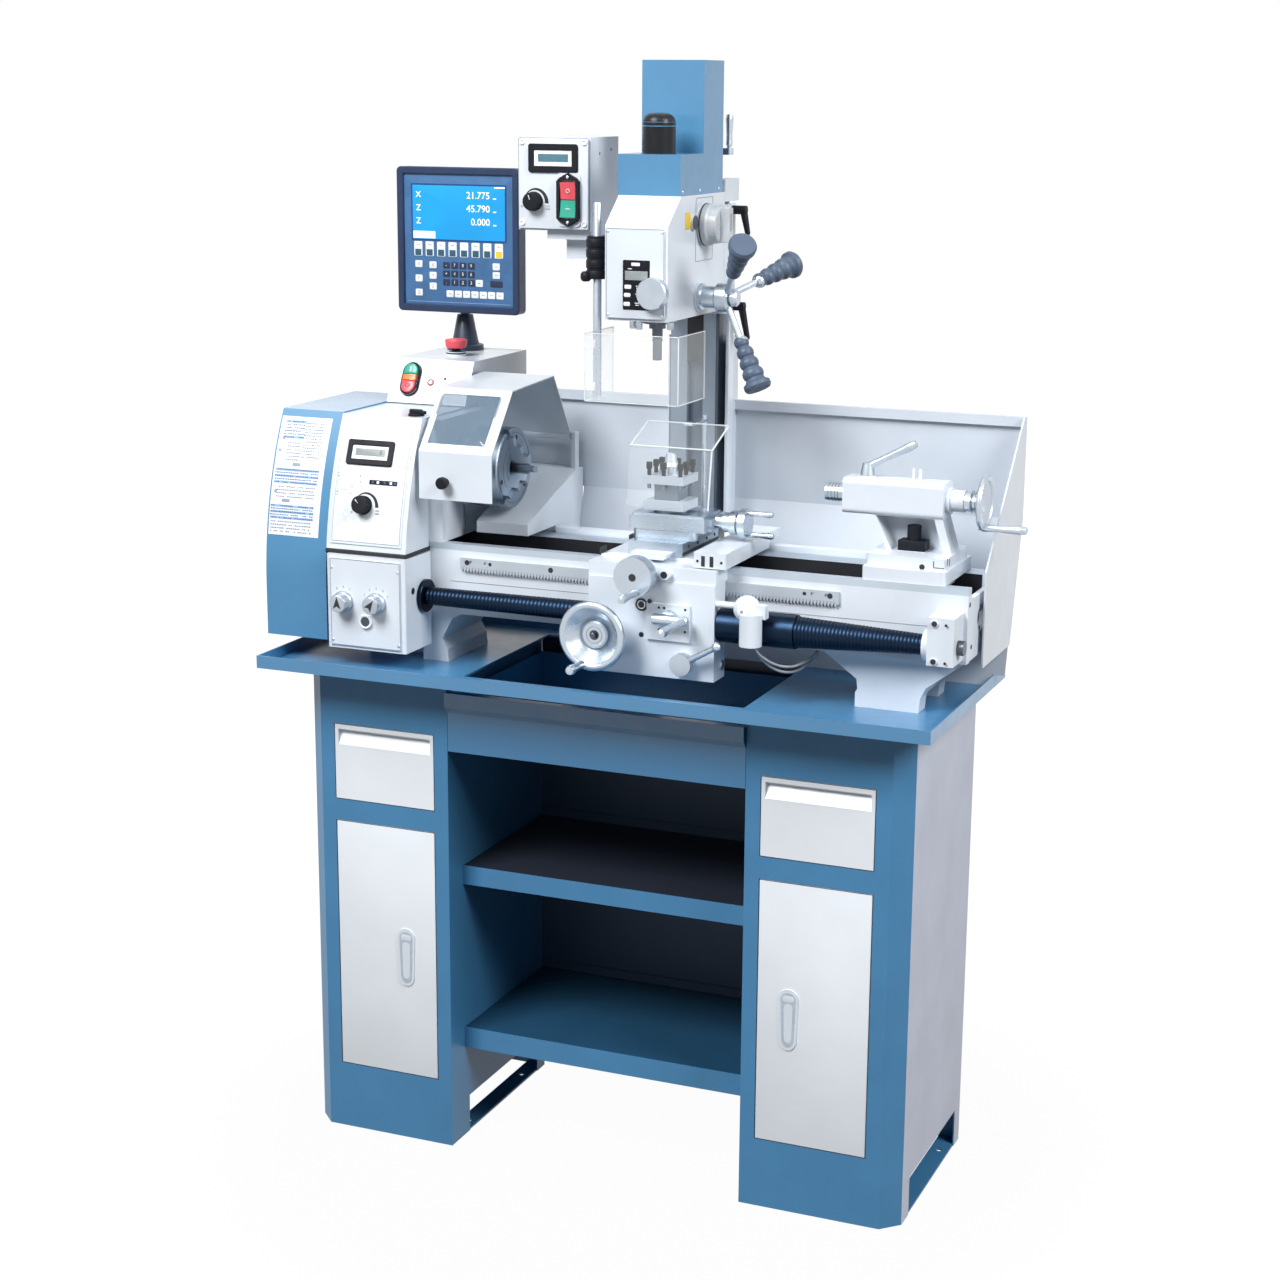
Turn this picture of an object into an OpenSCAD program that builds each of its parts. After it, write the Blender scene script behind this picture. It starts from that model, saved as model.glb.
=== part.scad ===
// Combination lathe mill on a two-cabinet stand.
// X runs along the bed towards the tailstock, Y to the back, Z up. Floor at z = 0.

/* [Stand] */
// Height of the two cabinets
stand_h = 936; // [800:1:1000]
// Length of the chip tray
tray_l = 1300; // [1280:1:1500]
// Depth of the chip tray
tray_d = 505; // [490:1:600]
// Height of the tray's rim
tray_rim = 24; // [16:1:40]
// Width of the bay between the cabinets
bay_w = 590; // [540:1:640]
// Width of one cabinet
cabinet_w = 302; // [280:1:320]
// Depth of the cabinets
cabinet_d = 422; // [400:1:460]
// Sheet thickness of the stand
sheet = 3; // [2:0.5:4]
// Width of a drawer or door opening
opening_w = 212.5; // [180:0.5:230]
// Height of a cabinet drawer's opening
drawer_h = 149.6; // [120:0.1:170]
// Height of a door's opening
door_h = 499.6; // [400:0.1:520]

/* [Lathe] */
// Length of the bed
bed_l = 1033; // [1000:1:1200]
// Width over the bed's ways
bed_w = 180; // [160:1:200]
// Height of the bed casting
bed_h = 133; // [120:1:150]
// Height of the bed's underside over the tray floor
foot_h = 96; // [80:1:120]
// Height of the spindle axis over the bed
centre_h = 135; // [125:1:150]
// Diameter of the chuck
chuck_d = 150; // [125:1:170]
// Radius of the tailstock quill
quill_r = 16; // [12:0.5:18]
// Tooth pitch of the feed rack
rack_pitch = 6.28; // [4:0.01:10]

/* [Mill] */
// Height of the column's way over the bed
column_h = 626; // [600:1:800]
// Width of the column's dovetail
dovetail_w = 90; // [80:1:110]
// Distance from the spindle axis to the column
throat = 187; // [180:1:220]
// Radius of the mill quill
mill_quill_r = 24; // [20:0.5:28]
// Length of the mill spindle guard's post
guard_post_l = 340; // [300:1:400]

/* [Fits] */
// Radial clearance of a shaft in its bore
fit = 0.05; // [0.02:0.01:0.1]
// Clearance between sliding faces
slide = 0.3; // [0.2:0.05:0.5]
// Gap round a drawer or door
reveal = 0.8; // [0.5:0.1:0.9]

/* [Hidden] */
$fn = 48;

// Stand levels and planes
front_y = -206;
back_y = front_y + cabinet_d;
bay_x = bay_w / 2;
outer_x = bay_x + cabinet_w;
corner_cut = 33;
tray_y = [-289, -289 + tray_d];
deck_z = stand_h + 4;
toe_h = 74.6;
door_x = bay_x + 28;
door_z = 132;
drawer_z = 672.7;
door_t = 16;
chip_drawer_z = [stand_h - 142, stand_h - 27];
well_x = [-262, 288];
well_y = [front_y + 4, 168];

// Lathe datums
lathe_y = -28;
bed_x = [661 - bed_l, 661];
bed_y = [lathe_y - bed_w / 2, lathe_y + bed_w / 2];
way_w = [20, 44];
bed_z = deck_z + foot_h;
way_z = bed_z + bed_h;
spin_z = way_z + centre_h;
screw_y = bed_y[0] - 32;
screw_z = bed_z + 37;
screw_r = 10;

// Headstock
cover_x = [-669, -540];
head_x = [-540, -374];
face_x = -345;
panel_rise = 2;
front_lean_r = 703;
front_lean_z = way_z - 89;
head_front = -215;
head_top = spin_z + 98;
head_back = 84;
box_top = spin_z + 181;
panel_foot = [30, head_top + 2];
panel_head = [72, box_top];
panel_tilt = atan2(panel_head[1] - panel_foot[1], panel_head[0] - panel_foot[0]);
box_x = [-540, -371];
box_back = 303;
gearbox_x = [-534, -369];
gearbox_y = -223;
gearbox_z = [deck_z + 35, way_z - 17];

// Chuck
chuck_x = [-318, -310, -240];
jaw_slot = [6, 9.5];
jaw_reach = 35;

// Carriage
saddle_x = [-22, 222];
apron_y = -178;
apron_z = deck_z + 33;
slide_x = 84;
slide_half = 52;
saddle_top = way_z + 11;
cross_top = saddle_top + 25;
swivel = [slide_x, -40];
compound_top = cross_top + 45;
post_at = [slide_x, -48];

// Mill
mill_x = 56;
mill_y = -50;
column_y = mill_y + throat;
column_x = 52;
column_depth = 63;
column_top = way_z + column_h;
head_z = [way_z + 431, way_z + 595];
head_half = 59;
head_front_y = -150;
crank_at = [54, 188];
guard_at = [-35, -110];
capstan_at = [mill_x + head_half, -2, head_z[0] + 34];

// The origin lies on the floor under the middle of the machine's footprint,
// which runs from the end cover to the tailstock crank and from the feed lever
// to the back of the switch box.
tail_crank = 86;
cross_crank = 70;
feed_crank = 104;
tail_x = 594;
tail_tip = tail_x + 60 + slide + tail_crank;
feed_tip = apron_y - 26 - slide - feed_crank;
machine_mid = [(cover_x[0] + tail_tip) / 2, (feed_tip + box_back) / 2];

// Guard cable: its route from the carriage switch to the bed, in millimetres
cable_r = 2.5;
cable_route = [
  [306, -203, 1052.5], [306, -203, 1049], [309, -201, 1043], [314, -197, 1036],
  [321, -193, 1030], [328, -188, 1024], [336, -182, 1019], [344, -175, 1015],
  [352, -168, 1013], [360, -160, 1012], [367, -151, 1013], [374, -142, 1016],
  [380, -133, 1019], [385, -124, 1023], [389, -116, 1028], [391, -112, 1034.6]
];

// ---- shared shapes ----

// Moves a piece from the lathe's own coordinates to the origin.
module seat() { translate([-machine_mid[0], -machine_mid[1], 0]) children(); }

// A block between two corners, given as ranges.
module block(x, y, z) {
  translate([x[0], y[0], z[0]]) cube([x[1] - x[0], y[1] - y[0], z[1] - z[0]]);
}

// Cylinders along each axis.
module rod_x(x, y, z, r) { translate([x[0], y, z]) rotate([0, 90, 0]) cylinder(h = x[1] - x[0], r = r); }
module rod_y(x, y, z, r) { translate([x, y[1], z]) rotate([90, 0, 0]) cylinder(h = y[1] - y[0], r = r); }
module rod_z(x, y, z, r) { translate([x, y, z[0]]) cylinder(h = z[1] - z[0], r = r); }

// A Y-Z outline extruded along X, and an X-Z outline extruded along Y.
module along_x(x) { translate([x[0], 0, 0]) rotate([90, 0, 90]) linear_extrude(x[1] - x[0]) children(); }
module along_y(y) { translate([0, y[1], 0]) rotate([90, 0, 0]) linear_extrude(y[1] - y[0]) children(); }

// A rectangle with round corners, centred, made of exact arcs.
module round_rect(w, h, r) {
  square([w - 2 * r, h], center = true);
  square([w, h - 2 * r], center = true);
  for (sx = [-1, 1], sy = [-1, 1])
    translate([sx * (w / 2 - r), sy * (h / 2 - r)]) circle(r = r);
}

// A slab with round vertical corners.
module slab(x, y, z, r) {
  translate([(x[0] + x[1]) / 2, (y[0] + y[1]) / 2, z[0]])
    linear_extrude(z[1] - z[0]) round_rect(x[1] - x[0], y[1] - y[0], r);
}

// Children sit on the leaning front of the headstock, local Z pointing outwards.
function lean_y(z) = head_front + front_lean_r
  - sqrt(pow(front_lean_r, 2) - pow(max(z - front_lean_z, 0), 2));
function lean_angle(z) = asin(max(z - front_lean_z, 0) / front_lean_r);
module on_front(x, z) {
  translate([x, lean_y(z), z]) rotate([90 - lean_angle(z), 0, 0]) children();
}

// Children sit on the sloped switch panel, at a distance up the slope.
module on_panel(x, up) {
  translate([x, panel_foot[0] + up * cos(panel_tilt), panel_foot[1] + up * sin(panel_tilt)])
    rotate([panel_tilt, 0, 0]) children();
}

// The swept front shared by the headstock and its end cover.
module leaning_block(x, y_back, z) {
  intersection() {
    block(x, [head_front, y_back], z);
    union() {
      rod_x([x[0] - 1, x[1] + 1], head_front + front_lean_r, front_lean_z, front_lean_r, $fn = 400);
      block([x[0] - 1, x[1] + 1], [head_front, y_back], [z[0] - 1, front_lean_z]);
    }
  }
}

// A turned crank handle along +Z, with a waist and a domed end.
module crank_handle(l, r) {
  rotate_extrude()
    polygon([[0, 0], [r * 0.6, 0], [r * 0.6, 4], [r * 0.85, 6], [r * 0.75, l * 0.4],
             [r, l * 0.85], [r * 0.8, l * 0.97], [0, l]]);
}

// A ratchet clamp lever: hub along +X and a tapered arm hanging down.
module clamp_lever(arm) {
  rod_x([0, 30], 0, 0, 8);
  translate([24, 0, 0]) rotate([0, 168, 0]) {
    cylinder(h = arm, r1 = 7, r2 = 5);
    translate([0, 0, arm]) sphere(r = 5);
  }
}

// ---- stand ----

module cabinet_outline(inset) {
  k = inset * (sqrt(2) - 1);
  polygon([[bay_x + inset, front_y + inset], [outer_x - corner_cut - k, front_y + inset],
           [outer_x - inset, front_y + corner_cut + k], [outer_x - inset, back_y - inset],
           [bay_x + inset, back_y - inset]]);
}

module cabinet() {
  plate = [bay_x + sheet / 2, outer_x - sheet / 2];
  difference() {
    linear_extrude(stand_h) cabinet_outline(0);
    translate([0, 0, -1]) linear_extrude(stand_h - sheet + 1) cabinet_outline(sheet);
    block([door_x, door_x + opening_w], [front_y - 1, front_y + sheet + 1], [door_z, door_z + door_h]);
    block([door_x, door_x + opening_w], [front_y - 1, front_y + sheet + 1], [drawer_z, drawer_z + drawer_h]);
    block([bay_x - 1, outer_x + 1], [-130, 180], [-1, toe_h]);
  }
  // floor, drawer shelf and the two foot flanges
  for (z = [door_z - 6, drawer_z - 1.8])
    translate([0, 0, z]) linear_extrude(sheet) cabinet_outline(sheet / 2);
  for (x = [[plate[0], plate[0] + 36], [plate[1] - 36, plate[1]]])
    difference() {
      block(x, [front_y + corner_cut, back_y - sheet], [0, 4]);
      for (y = [-95, 145]) rod_z((x[0] + x[1]) / 2, y, [-1, 5], 6);
    }
  // runner for the chip drawer
  block([bay_x - 14, bay_x + sheet / 2], [front_y + 10, back_y - 70],
        [chip_drawer_z[0] - sheet - slide, chip_drawer_z[0] - slide]);
}

module cabinets() color("steelblue") seat() {
  cabinet();
  mirror([1, 0, 0]) cabinet();
}

module bay_shelves() color("steelblue") seat() {
  half = bay_x - slide;
  shelf_y = [front_y + 57, back_y - 10];
  for (z = [[183, 224], [516, 553]]) {
    block([-half, half], shelf_y, [z[1] - sheet, z[1]]);
    block([-half, half], [shelf_y[0], shelf_y[0] + sheet], z);
    block([-half, half], [shelf_y[1] - sheet, shelf_y[1]], [z[1] - sheet, z[1] + 18]);
    for (s = [-1, 1])
      block([s * half - (s > 0 ? sheet : 0), s * half + (s > 0 ? 0 : sheet)],
            shelf_y, [z[0] + 12, z[1]]);
  }
  block([-half, half], [shelf_y[1] + slide, shelf_y[1] + slide + sheet],
        [100, chip_drawer_z[0] - 20]);
}

module chip_tray() color("steelblue") seat() difference() {
  block([-tray_l / 2, tray_l / 2], tray_y, [stand_h, stand_h + tray_rim]);
  block([-tray_l / 2 + sheet, tray_l / 2 - sheet], [tray_y[0] + sheet, tray_y[1] - sheet],
        [deck_z, stand_h + tray_rim + 1]);
  block(well_x, well_y, [stand_h - 1, deck_z + 1]);
}

module chip_drawer() color("steelblue") seat() {
  z = chip_drawer_z;
  half = bay_x - 15;
  face = [-bay_x + reveal, bay_x - reveal];
  block(face, [front_y, front_y + sheet], z);
  // rolled pull along the top edge
  along_x(face) difference() {
    polygon([[front_y, z[1] - 40], [front_y - 13, z[1] - 27], [front_y - 13, z[1]], [front_y, z[1]]]);
    polygon([[front_y + 1, z[1] - 35], [front_y - 10, z[1] - 24], [front_y - 10, z[1] - 3],
             [front_y + 1, z[1] - 3]]);
  }
  difference() {
    block([-half, half], [front_y + 1, back_y - 40], [z[0], z[1] - 6]);
    block([-half + 2.5, half - 2.5], [front_y + sheet, back_y - 42.5], [z[0] + 2.5, z[1]]);
  }
  for (s = [-1, 1])
    block([s > 0 ? half - 1 : -bay_x + 2, s > 0 ? bay_x - 2 : -half + 1],
          [front_y + sheet, back_y - 60], [z[0], z[0] + 2.5]);
}

module side_drawer() {
  x = [door_x + reveal, door_x + opening_w - reveal];
  z = [drawer_z + 1.5, drawer_z + drawer_h - reveal];
  tray_x = [x[0] + 9, x[1] - 9];
  difference() {
    block(x, [front_y, front_y + 14], z);
    // finger channel along the top of the front
    along_x([x[0] + 8, x[1] - 8])
      polygon([[front_y - 1, z[1] - 10], [front_y + 11, z[1] - 10], [front_y + 11, z[1] - 18],
               [front_y - 1, z[1] - 42]]);
  }
  difference() {
    block(tray_x, [front_y + 13, front_y + 355], [z[0], z[1] - 24]);
    block([tray_x[0] + 2, tray_x[1] - 2], [front_y + 14, front_y + 353], [z[0] + 2, z[1]]);
  }
}

module left_drawer() color("whitesmoke") seat() mirror([1, 0, 0]) side_drawer();
module right_drawer() color("whitesmoke") seat() side_drawer();

module side_door() {
  x = [door_x + reveal, door_x + opening_w - reveal];
  z = [door_z + reveal, door_z + door_h - reveal];
  latch = [x[0] + 28, (z[0] + z[1]) / 2 + 2];
  difference() {
    block(x, [front_y, front_y + door_t], z);
    block([x[0] + 2.5, x[1] - 2.5], [front_y + 2.5, front_y + door_t + 1], [z[0] + 2.5, z[1] - 2.5]);
    // window for the latch
    along_y([front_y - 1, front_y + 4]) translate(latch) round_rect(28, 106, 6);
  }
  // latch: dished plate and paddle
  along_y([front_y - 2.5, front_y + 9]) translate(latch) difference() {
    round_rect(34, 112, 9);
    round_rect(24, 100, 6);
  }
  along_y([front_y + 6.5, front_y + 9]) translate(latch) round_rect(32, 110, 8);
  along_y([front_y - 1, front_y + 8]) translate([latch[0], latch[1] + 8]) round_rect(15, 70, 6);
  rod_y(latch[0], [front_y - 1, front_y + 8], latch[1] - 38, 7);
}

module left_door() color("whitesmoke") seat() mirror([1, 0, 0]) side_door();
module right_door() color("whitesmoke") seat() side_door();

// ---- splash guard ----

guard_y = 205;
guard_z = [deck_z + slide, spin_z + 121];
guard_bend_z = way_z + 68;
guard_toe_y = 127;
guard_x = [-364, 669];
column_gap = [column_x - dovetail_w / 2 - 15, column_x + dovetail_w / 2 + 14];

module guard_section(depth) {
  polygon([[guard_y - depth, guard_z[1]], [guard_y + sheet, guard_z[1]], [guard_y + sheet, guard_bend_z],
           [guard_toe_y + sheet, guard_z[0]], [guard_toe_y, guard_z[0]], [guard_y, guard_bend_z],
           [guard_y, guard_z[1] - 18], [guard_y - depth, guard_z[1] - 18]]);
}

module splash_guard() color("white") seat() {
  difference() {
    for (x = [[motor_x[1] + slide, column_gap[0]], [column_gap[1], guard_x[1]]])
      along_x(x) guard_section(9);
    // notch over the tray's end rim
    block([tray_l / 2 - sheet - slide, guard_x[1] + 1], [guard_toe_y - 1, guard_y],
          [deck_z, stand_h + tray_rim + slide]);
  }
  // above the motor cover only the upright part remains
  along_x([guard_x[0], motor_x[1] + 1]) intersection() {
    guard_section(9);
    translate([guard_y - 20, guard_bend_z]) square([40, guard_z[1] - guard_bend_z]);
  }
  // shroud round the back of the column, standing taller than the panels
  difference() {
    block([column_gap[0] - sheet, column_gap[1] + sheet], [170, guard_y + sheet + 4],
          [way_z + 12, spin_z + 240]);
    block(column_gap, [169, guard_y + 4], [way_z, spin_z + 241]);
  }
  // end wing
  along_x([guard_x[1], guard_x[1] + sheet])
    polygon([[guard_y + sheet, guard_z[1]], [guard_y - 15, guard_z[1]], [-45, way_z + 16],
             [-45, deck_z + 75], [guard_y - 58, deck_z + 75], [guard_y + sheet, guard_bend_z]]);
}

// ---- bed ----

rack_x = [-306, 431];
rack_z = [way_z - 51, way_z - 24];
rack_teeth = floor((rack_x[1] - rack_x[0] - 6) / rack_pitch);

// Trapezoid teeth on the lower edge, as one outline.
module rack() {
  depth = rack_pitch * 0.7;
  tooth = [for (i = [0 : rack_teeth - 1], s = [0 : 3])
    [rack_x[1] - 3 - rack_pitch * (i + [0.05, 0.3, 0.55, 0.8][s]),
     rack_z[0] + (s == 0 || s == 3 ? depth : 0)]];
  along_y([bed_y[0] - 6, bed_y[0]])
    polygon(concat([[rack_x[0], rack_z[1]], [rack_x[1], rack_z[1]], [rack_x[1], rack_z[0] + depth]],
                   tooth, [[rack_x[0], rack_z[0] + depth]]));
}

bracket_x = [596, 646];

module bed() color("lightgray") seat() {
  difference() {
    union() {
      // two side walls with their ways, tied by cross ribs
      for (y = [[bed_y[0], bed_y[0] + way_w[0]], [bed_y[1] - way_w[1], bed_y[1]]])
        along_x(bed_x) polygon([[y[0], way_z - 22], [y[0], way_z], [y[1], way_z], [y[1], way_z - 22],
          [y[1] - 6, way_z - 28], [y[1] - 6, bed_z + 14], [y[1], bed_z + 8], [y[1], bed_z],
          [y[0], bed_z], [y[0], bed_z + 8], [y[0], way_z - 28]]);
      for (x = [bed_x[0] : 129 : bed_x[1] - 20])
        block([x, x + 12], [bed_y[0] + 4, bed_y[1] - 4], [bed_z + 2, way_z - 30]);
      block([bed_x[1] - 10, bed_x[1]], [bed_y[0] + 4, bed_y[1] - 4], [bed_z + 2, way_z - 22]);
      rack();
      // left pedestal under the headstock
      block([head_x[0] + 8, bed_x[0] + 0.5], [bed_y[0] + 50, bed_y[1]], [deck_z, way_z - 9]);
      along_y([bed_y[0] + 6, bed_y[1] - 8]) polygon([[bed_x[0] - 20, deck_z], [-339, deck_z],
        [-341, deck_z + 24], [-352, deck_z + 44], [-330, bed_z - 12], [-306, bed_z + 1],
        [bed_x[0] - 20, bed_z + 1]]);
      // right foot with its waisted sides
      along_y([bed_y[0] + 6, bed_y[1] - 8]) polygon([[462, deck_z], [577.5, deck_z], [580, deck_z + 26],
        [590, deck_z + 46], [bed_x[1] - 2, bed_z + 1], [399, bed_z + 1], [464, deck_z + 50],
        [466, deck_z + 32], [462, deck_z + 26]]);
      // glass scale of the readout along the back
      block([motor_x[1] + 4, 560], [bed_y[1] + 2, bed_y[1] + 26], [way_z - 18, way_z + 10]);
      block([motor_x[1] + 20, 540], [bed_y[1] - 1, bed_y[1] + 3], [way_z - 16, way_z - 4]);
      // leadscrew end bracket
      block([bracket_x[0] + 11, bracket_x[1] + 8], [bed_y[0] - 61, bed_y[0] + 1], [bed_z + 8, bed_z + 92]);
      rod_x(bracket_x, screw_y, screw_z, 27);
      for (z = [bed_z + 16, bed_z + 82])
        rod_y(bracket_x[0] + 24, [bed_y[0] - 64, bed_y[0] - 60], z, 6);
    }
    rod_x([bracket_x[0] - 1, bracket_x[1] + 9], screw_y, screw_z, screw_r + fit);
    // arch through the right foot and window in the end plate
    along_x([440, 600]) translate([lathe_y, deck_z - 1]) square([84, 60], center = true);
    rod_x([bed_x[1] - 11, bed_x[1] + 1], lathe_y, bed_z + 66, 24);
    // rack screw heads
    for (x = [rack_x[0] + 22, rack_x[0] + 52, rack_x[1] - 22, rack_x[1] - 48])
      rod_y(x, [bed_y[0] - 7, bed_y[0] - 3], rack_z[1] - 8, 3.5);
  }
}

// ---- headstock ----

dial_at = [-466, way_z + 74];

module headstock() color("white") seat() difference() {
  union() {
    leaning_block(head_x, head_back, [way_z - 9, head_top]);
    block([head_x[1] - 1, face_x], [bed_y[0], 72], [way_z, head_top - 4]);
    rod_x([face_x - 1, face_x + 22], lathe_y, spin_z, 52);
    // raised control panel, following the leaning front
    translate([0, -panel_rise, 0])
      leaning_block([head_x[0] + 8, head_x[1] - 9], head_front + 130, [way_z + 2, head_top - 14]);
  }
  rod_x([-440, face_x + 23], lathe_y, spin_z, 30 + fit);
  on_front(dial_at[0], dial_at[1]) translate([0, 0, -16]) cylinder(h = 30, r = 5 + fit);
}

module end_cover() color("steelblue") seat() difference() {
  leaning_block(cover_x, 137, [deck_z + 45, head_top + 3]);
  rod_x([cover_x[0] - 1, cover_x[0] + 6], lathe_y, spin_z, 24);
}

module speed_knob() color("black") seat() on_front(dial_at[0], dial_at[1]) {
  translate([0, 0, -14]) cylinder(h = 17, r = 5);
  translate([0, 0, panel_rise + slide]) rotate_extrude()
    polygon([[0, 0], [17, 0], [17, 5], [14, 7], [13, 18], [11.5, 20], [0, 20]]);
}

knob_at = [[-497, deck_z + 125], [-428, deck_z + 127]];

module feed_gearbox() color("white") seat() difference() {
  union() {
    slab(gearbox_x, [gearbox_y, bed_y[0]], gearbox_z, 5);
    block([gearbox_x[0] + 4, bed_x[0] - 20 - slide], [bed_y[0] - 1, bed_y[0] + 50], gearbox_z);
    block([gearbox_x[0] + 8, gearbox_x[1] - 10], [gearbox_y - 3, gearbox_y + 1],
          [gearbox_z[0] + 6, gearbox_z[1] - 6]);
    // oil sight rim
    rod_y(-450, [gearbox_y - 7, gearbox_y], deck_z + 91, 13);
  }
  rod_x([gearbox_x[1] - 40, gearbox_x[1] + 1], screw_y, screw_z, screw_r + fit);
  rod_x([gearbox_x[1] - 6, gearbox_x[1] + 1], -193, deck_z + 149, 6);
  for (k = knob_at) rod_y(k[0], [gearbox_y - 4, gearbox_y + 20], k[1], 6 + fit);
  rod_y(-450, [gearbox_y - 8, gearbox_y - 4], deck_z + 91, 9);
}

// Selector knob: skirted barrel with a pointer rib.
module feed_knob(at) {
  translate([at[0], gearbox_y - 3 - slide, at[1]]) rotate([90, 0, 0]) {
    translate([0, 0, -20]) cylinder(h = 21, r = 6);
    rotate_extrude() polygon([[0, 0], [20, 0], [20, 6], [17, 8], [17, 24], [15, 26], [0, 26]]);
  }
}

module feed_knob_left() color("silver") seat() feed_knob(knob_at[0]);
module feed_knob_right() color("silver") seat() feed_knob(knob_at[1]);

// ---- rear housing: switch box, motor cover and readout stand ----

button_at = [-497, 48];
button_ring = 2.5;
stop_at = [-446, 143];
stand_at = [-483, 256];
tilt_at = [256, box_top + 150];
motor_x = [-371, -201];
motor_top = way_z + 107;
chute_x = [-307, motor_x[1]];
guard_hinge = [181, spin_z + 33];

module rear_housing() color("white") seat() difference() {
  union() {
    along_x(box_x) polygon([[head_back, way_z - 120], [head_back, head_top + 2], panel_foot, panel_head,
      [box_back, box_top], [box_back, way_z - 120]]);
    // motor cover with the chip chute running forward under the chuck
    along_x([motor_x[0] - 1, motor_x[1]]) polygon([[72, way_z - 150], [72, way_z + 76], [160, motor_top - 4],
      [172, motor_top], [196, motor_top], [200, motor_top - 4], [200, way_z - 150]]);
    along_x(chute_x) polygon([[-52, way_z + 12], [-52, way_z + 33], [73, way_z + 76.4], [73, way_z + 12]]);
    // rim of the twin push button
    on_panel(button_at[0], button_at[1]) translate([0, 0, -1]) linear_extrude(7) round_rect(36, 66, 17);
    rod_z(stop_at[0], stop_at[1], [box_top - 1, box_top + 9], 19);
    // readout stand: foot disc, tapered post and fork
    rod_z(stand_at[0], stand_at[1], [box_top - 1, box_top + 8], 36);
    translate([stand_at[0], stand_at[1], box_top + 7]) cylinder(h = 62, r1 = 27, r2 = 15);
    rod_z(stand_at[0], stand_at[1], [box_top + 60, tilt_at[1] - 26], 9);
    for (s = [-1, 1])
      block([stand_at[0] + s * 16 - 4, stand_at[0] + s * 16 + 4], [tilt_at[0] - 10, tilt_at[0] + 10],
            [tilt_at[1] - 24, tilt_at[1] + 12]);
    block([stand_at[0] - 20, stand_at[0] + 20], [tilt_at[0] - 10, tilt_at[0] + 10],
          [tilt_at[1] - 32, tilt_at[1] - 22]);
    rod_x([stand_at[0] - 20, stand_at[0] + 20], tilt_at[0], tilt_at[1], 4);
    // hinge pins of the chuck guard
    rod_x([motor_x[0], -340], guard_hinge[0], guard_hinge[1], 3);
    rod_x([-240, -205], guard_hinge[0], guard_hinge[1], 3);
    block([-213, -205], [172, 190], [motor_top - 1, guard_hinge[1] + 9]);
    block([motor_x[0] - 1, motor_x[0] + 6], [172, 190], [motor_top - 1, guard_hinge[1] + 9]);
  }
  on_panel(button_at[0], button_at[1]) translate([0, 0, -7]) linear_extrude(20)
    round_rect(36 - 2 * button_ring, 66 - 2 * button_ring, 17 - button_ring);
  rod_z(stop_at[0], stop_at[1], [box_top - 20, box_top + 10], 9 + fit);
}

// One half of the twin push button, its cap standing above the rim.
module panel_button(upper) {
  w = 36 - 2 * button_ring - 2 * slide;
  h = 66 - 2 * button_ring - 2 * slide;
  on_panel(button_at[0], button_at[1]) translate([0, 0, -3]) intersection() {
    linear_extrude(13) round_rect(w, h, w / 2 - 1);
    translate([-w, upper ? slide / 2 : -h, -1]) cube([2 * w, upper ? h : h - slide / 2, 20]);
  }
}

module start_button() color("green") seat() panel_button(true);
module stop_button() color("red") seat() panel_button(false);

module emergency_stop() color("red") seat() translate([stop_at[0], stop_at[1], box_top]) {
  translate([0, 0, -14]) cylinder(h = 32, r = 9);
  translate([0, 0, 16]) rotate_extrude()
    polygon([[0, 0], [13, 0], [21, 3], [22, 8], [20, 13], [13, 16], [0, 17]]);
}

display_x = [-603, -338];
display_z = [box_top + 78, box_top + 358];

module readout_display() color("navy") seat() difference() {
  union() {
    along_y([206, 232]) translate([(display_x[0] + display_x[1]) / 2, (display_z[0] + display_z[1]) / 2])
      difference() {
        round_rect(display_x[1] - display_x[0], display_z[1] - display_z[0], 9);
      }
    along_y([202, 207]) translate([(display_x[0] + display_x[1]) / 2, (display_z[0] + display_z[1]) / 2])
      difference() {
        round_rect(display_x[1] - display_x[0], display_z[1] - display_z[0], 9);
        round_rect(display_x[1] - display_x[0] - 26, display_z[1] - display_z[0] - 26, 4);
      }
    // tilt lug
    block([stand_at[0] - 11.5, stand_at[0] + 11.5], [231, tilt_at[0] + 9], [tilt_at[1] - 12, tilt_at[1] + 12]);
  }
  rod_x([stand_at[0] - 12, stand_at[0] + 12], tilt_at[0], tilt_at[1], 4 + fit);
}

// ---- chuck and its guard ----

hood_x = [-364, -216];

// Sheet profile of the hood in Y-Z: apron, window slope, roof and back slope.
hood_line = [[-172, spin_z - 44], [-172, spin_z + 44], [-82, spin_z + 151], [98, spin_z + 160],
             [guard_hinge[0] - 3, guard_hinge[1] + 6]];

// A sheet bent along a line of points, with mitred bends.
function unit(v) = v / norm(v);
function side(p, i) = let (d = unit(p[i + 1] - p[i])) [d[1], -d[0]];
function mitre(p, i, t) = let (a = side(p, max(i - 1, 0)), b = side(p, min(i, len(p) - 2)), m = a + b)
  p[i] + m * 2 * t / (m * m);
module bent_sheet(p, t) { polygon(concat(p, [for (i = [len(p) - 1 : -1 : 0]) mitre(p, i, t)])); }

module chuck_guard() color("white") seat() difference() {
  union() {
    along_x(hood_x) bent_sheet(hood_line, 2.5);
    rod_x(hood_x, guard_hinge[0], guard_hinge[1], 7);
    // knob on the apron
    rod_y(-309, [-183, -171], spin_z - 10, 6);
    rod_y(-309, [-193, -182], spin_z - 10, 10);
  }
  // window
  for (t = [-9, 9])
    along_x([hood_x[0] + 12, hood_x[1] - 20]) bent_sheet([hood_line[1] + [11, 14], hood_line[2] - [9, 11]], t);
  rod_x([hood_x[0] - 1, -339], guard_hinge[0], guard_hinge[1], 3 + fit);
  rod_x([-241, hood_x[1] + 1], guard_hinge[0], guard_hinge[1], 3 + fit);
}

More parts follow.
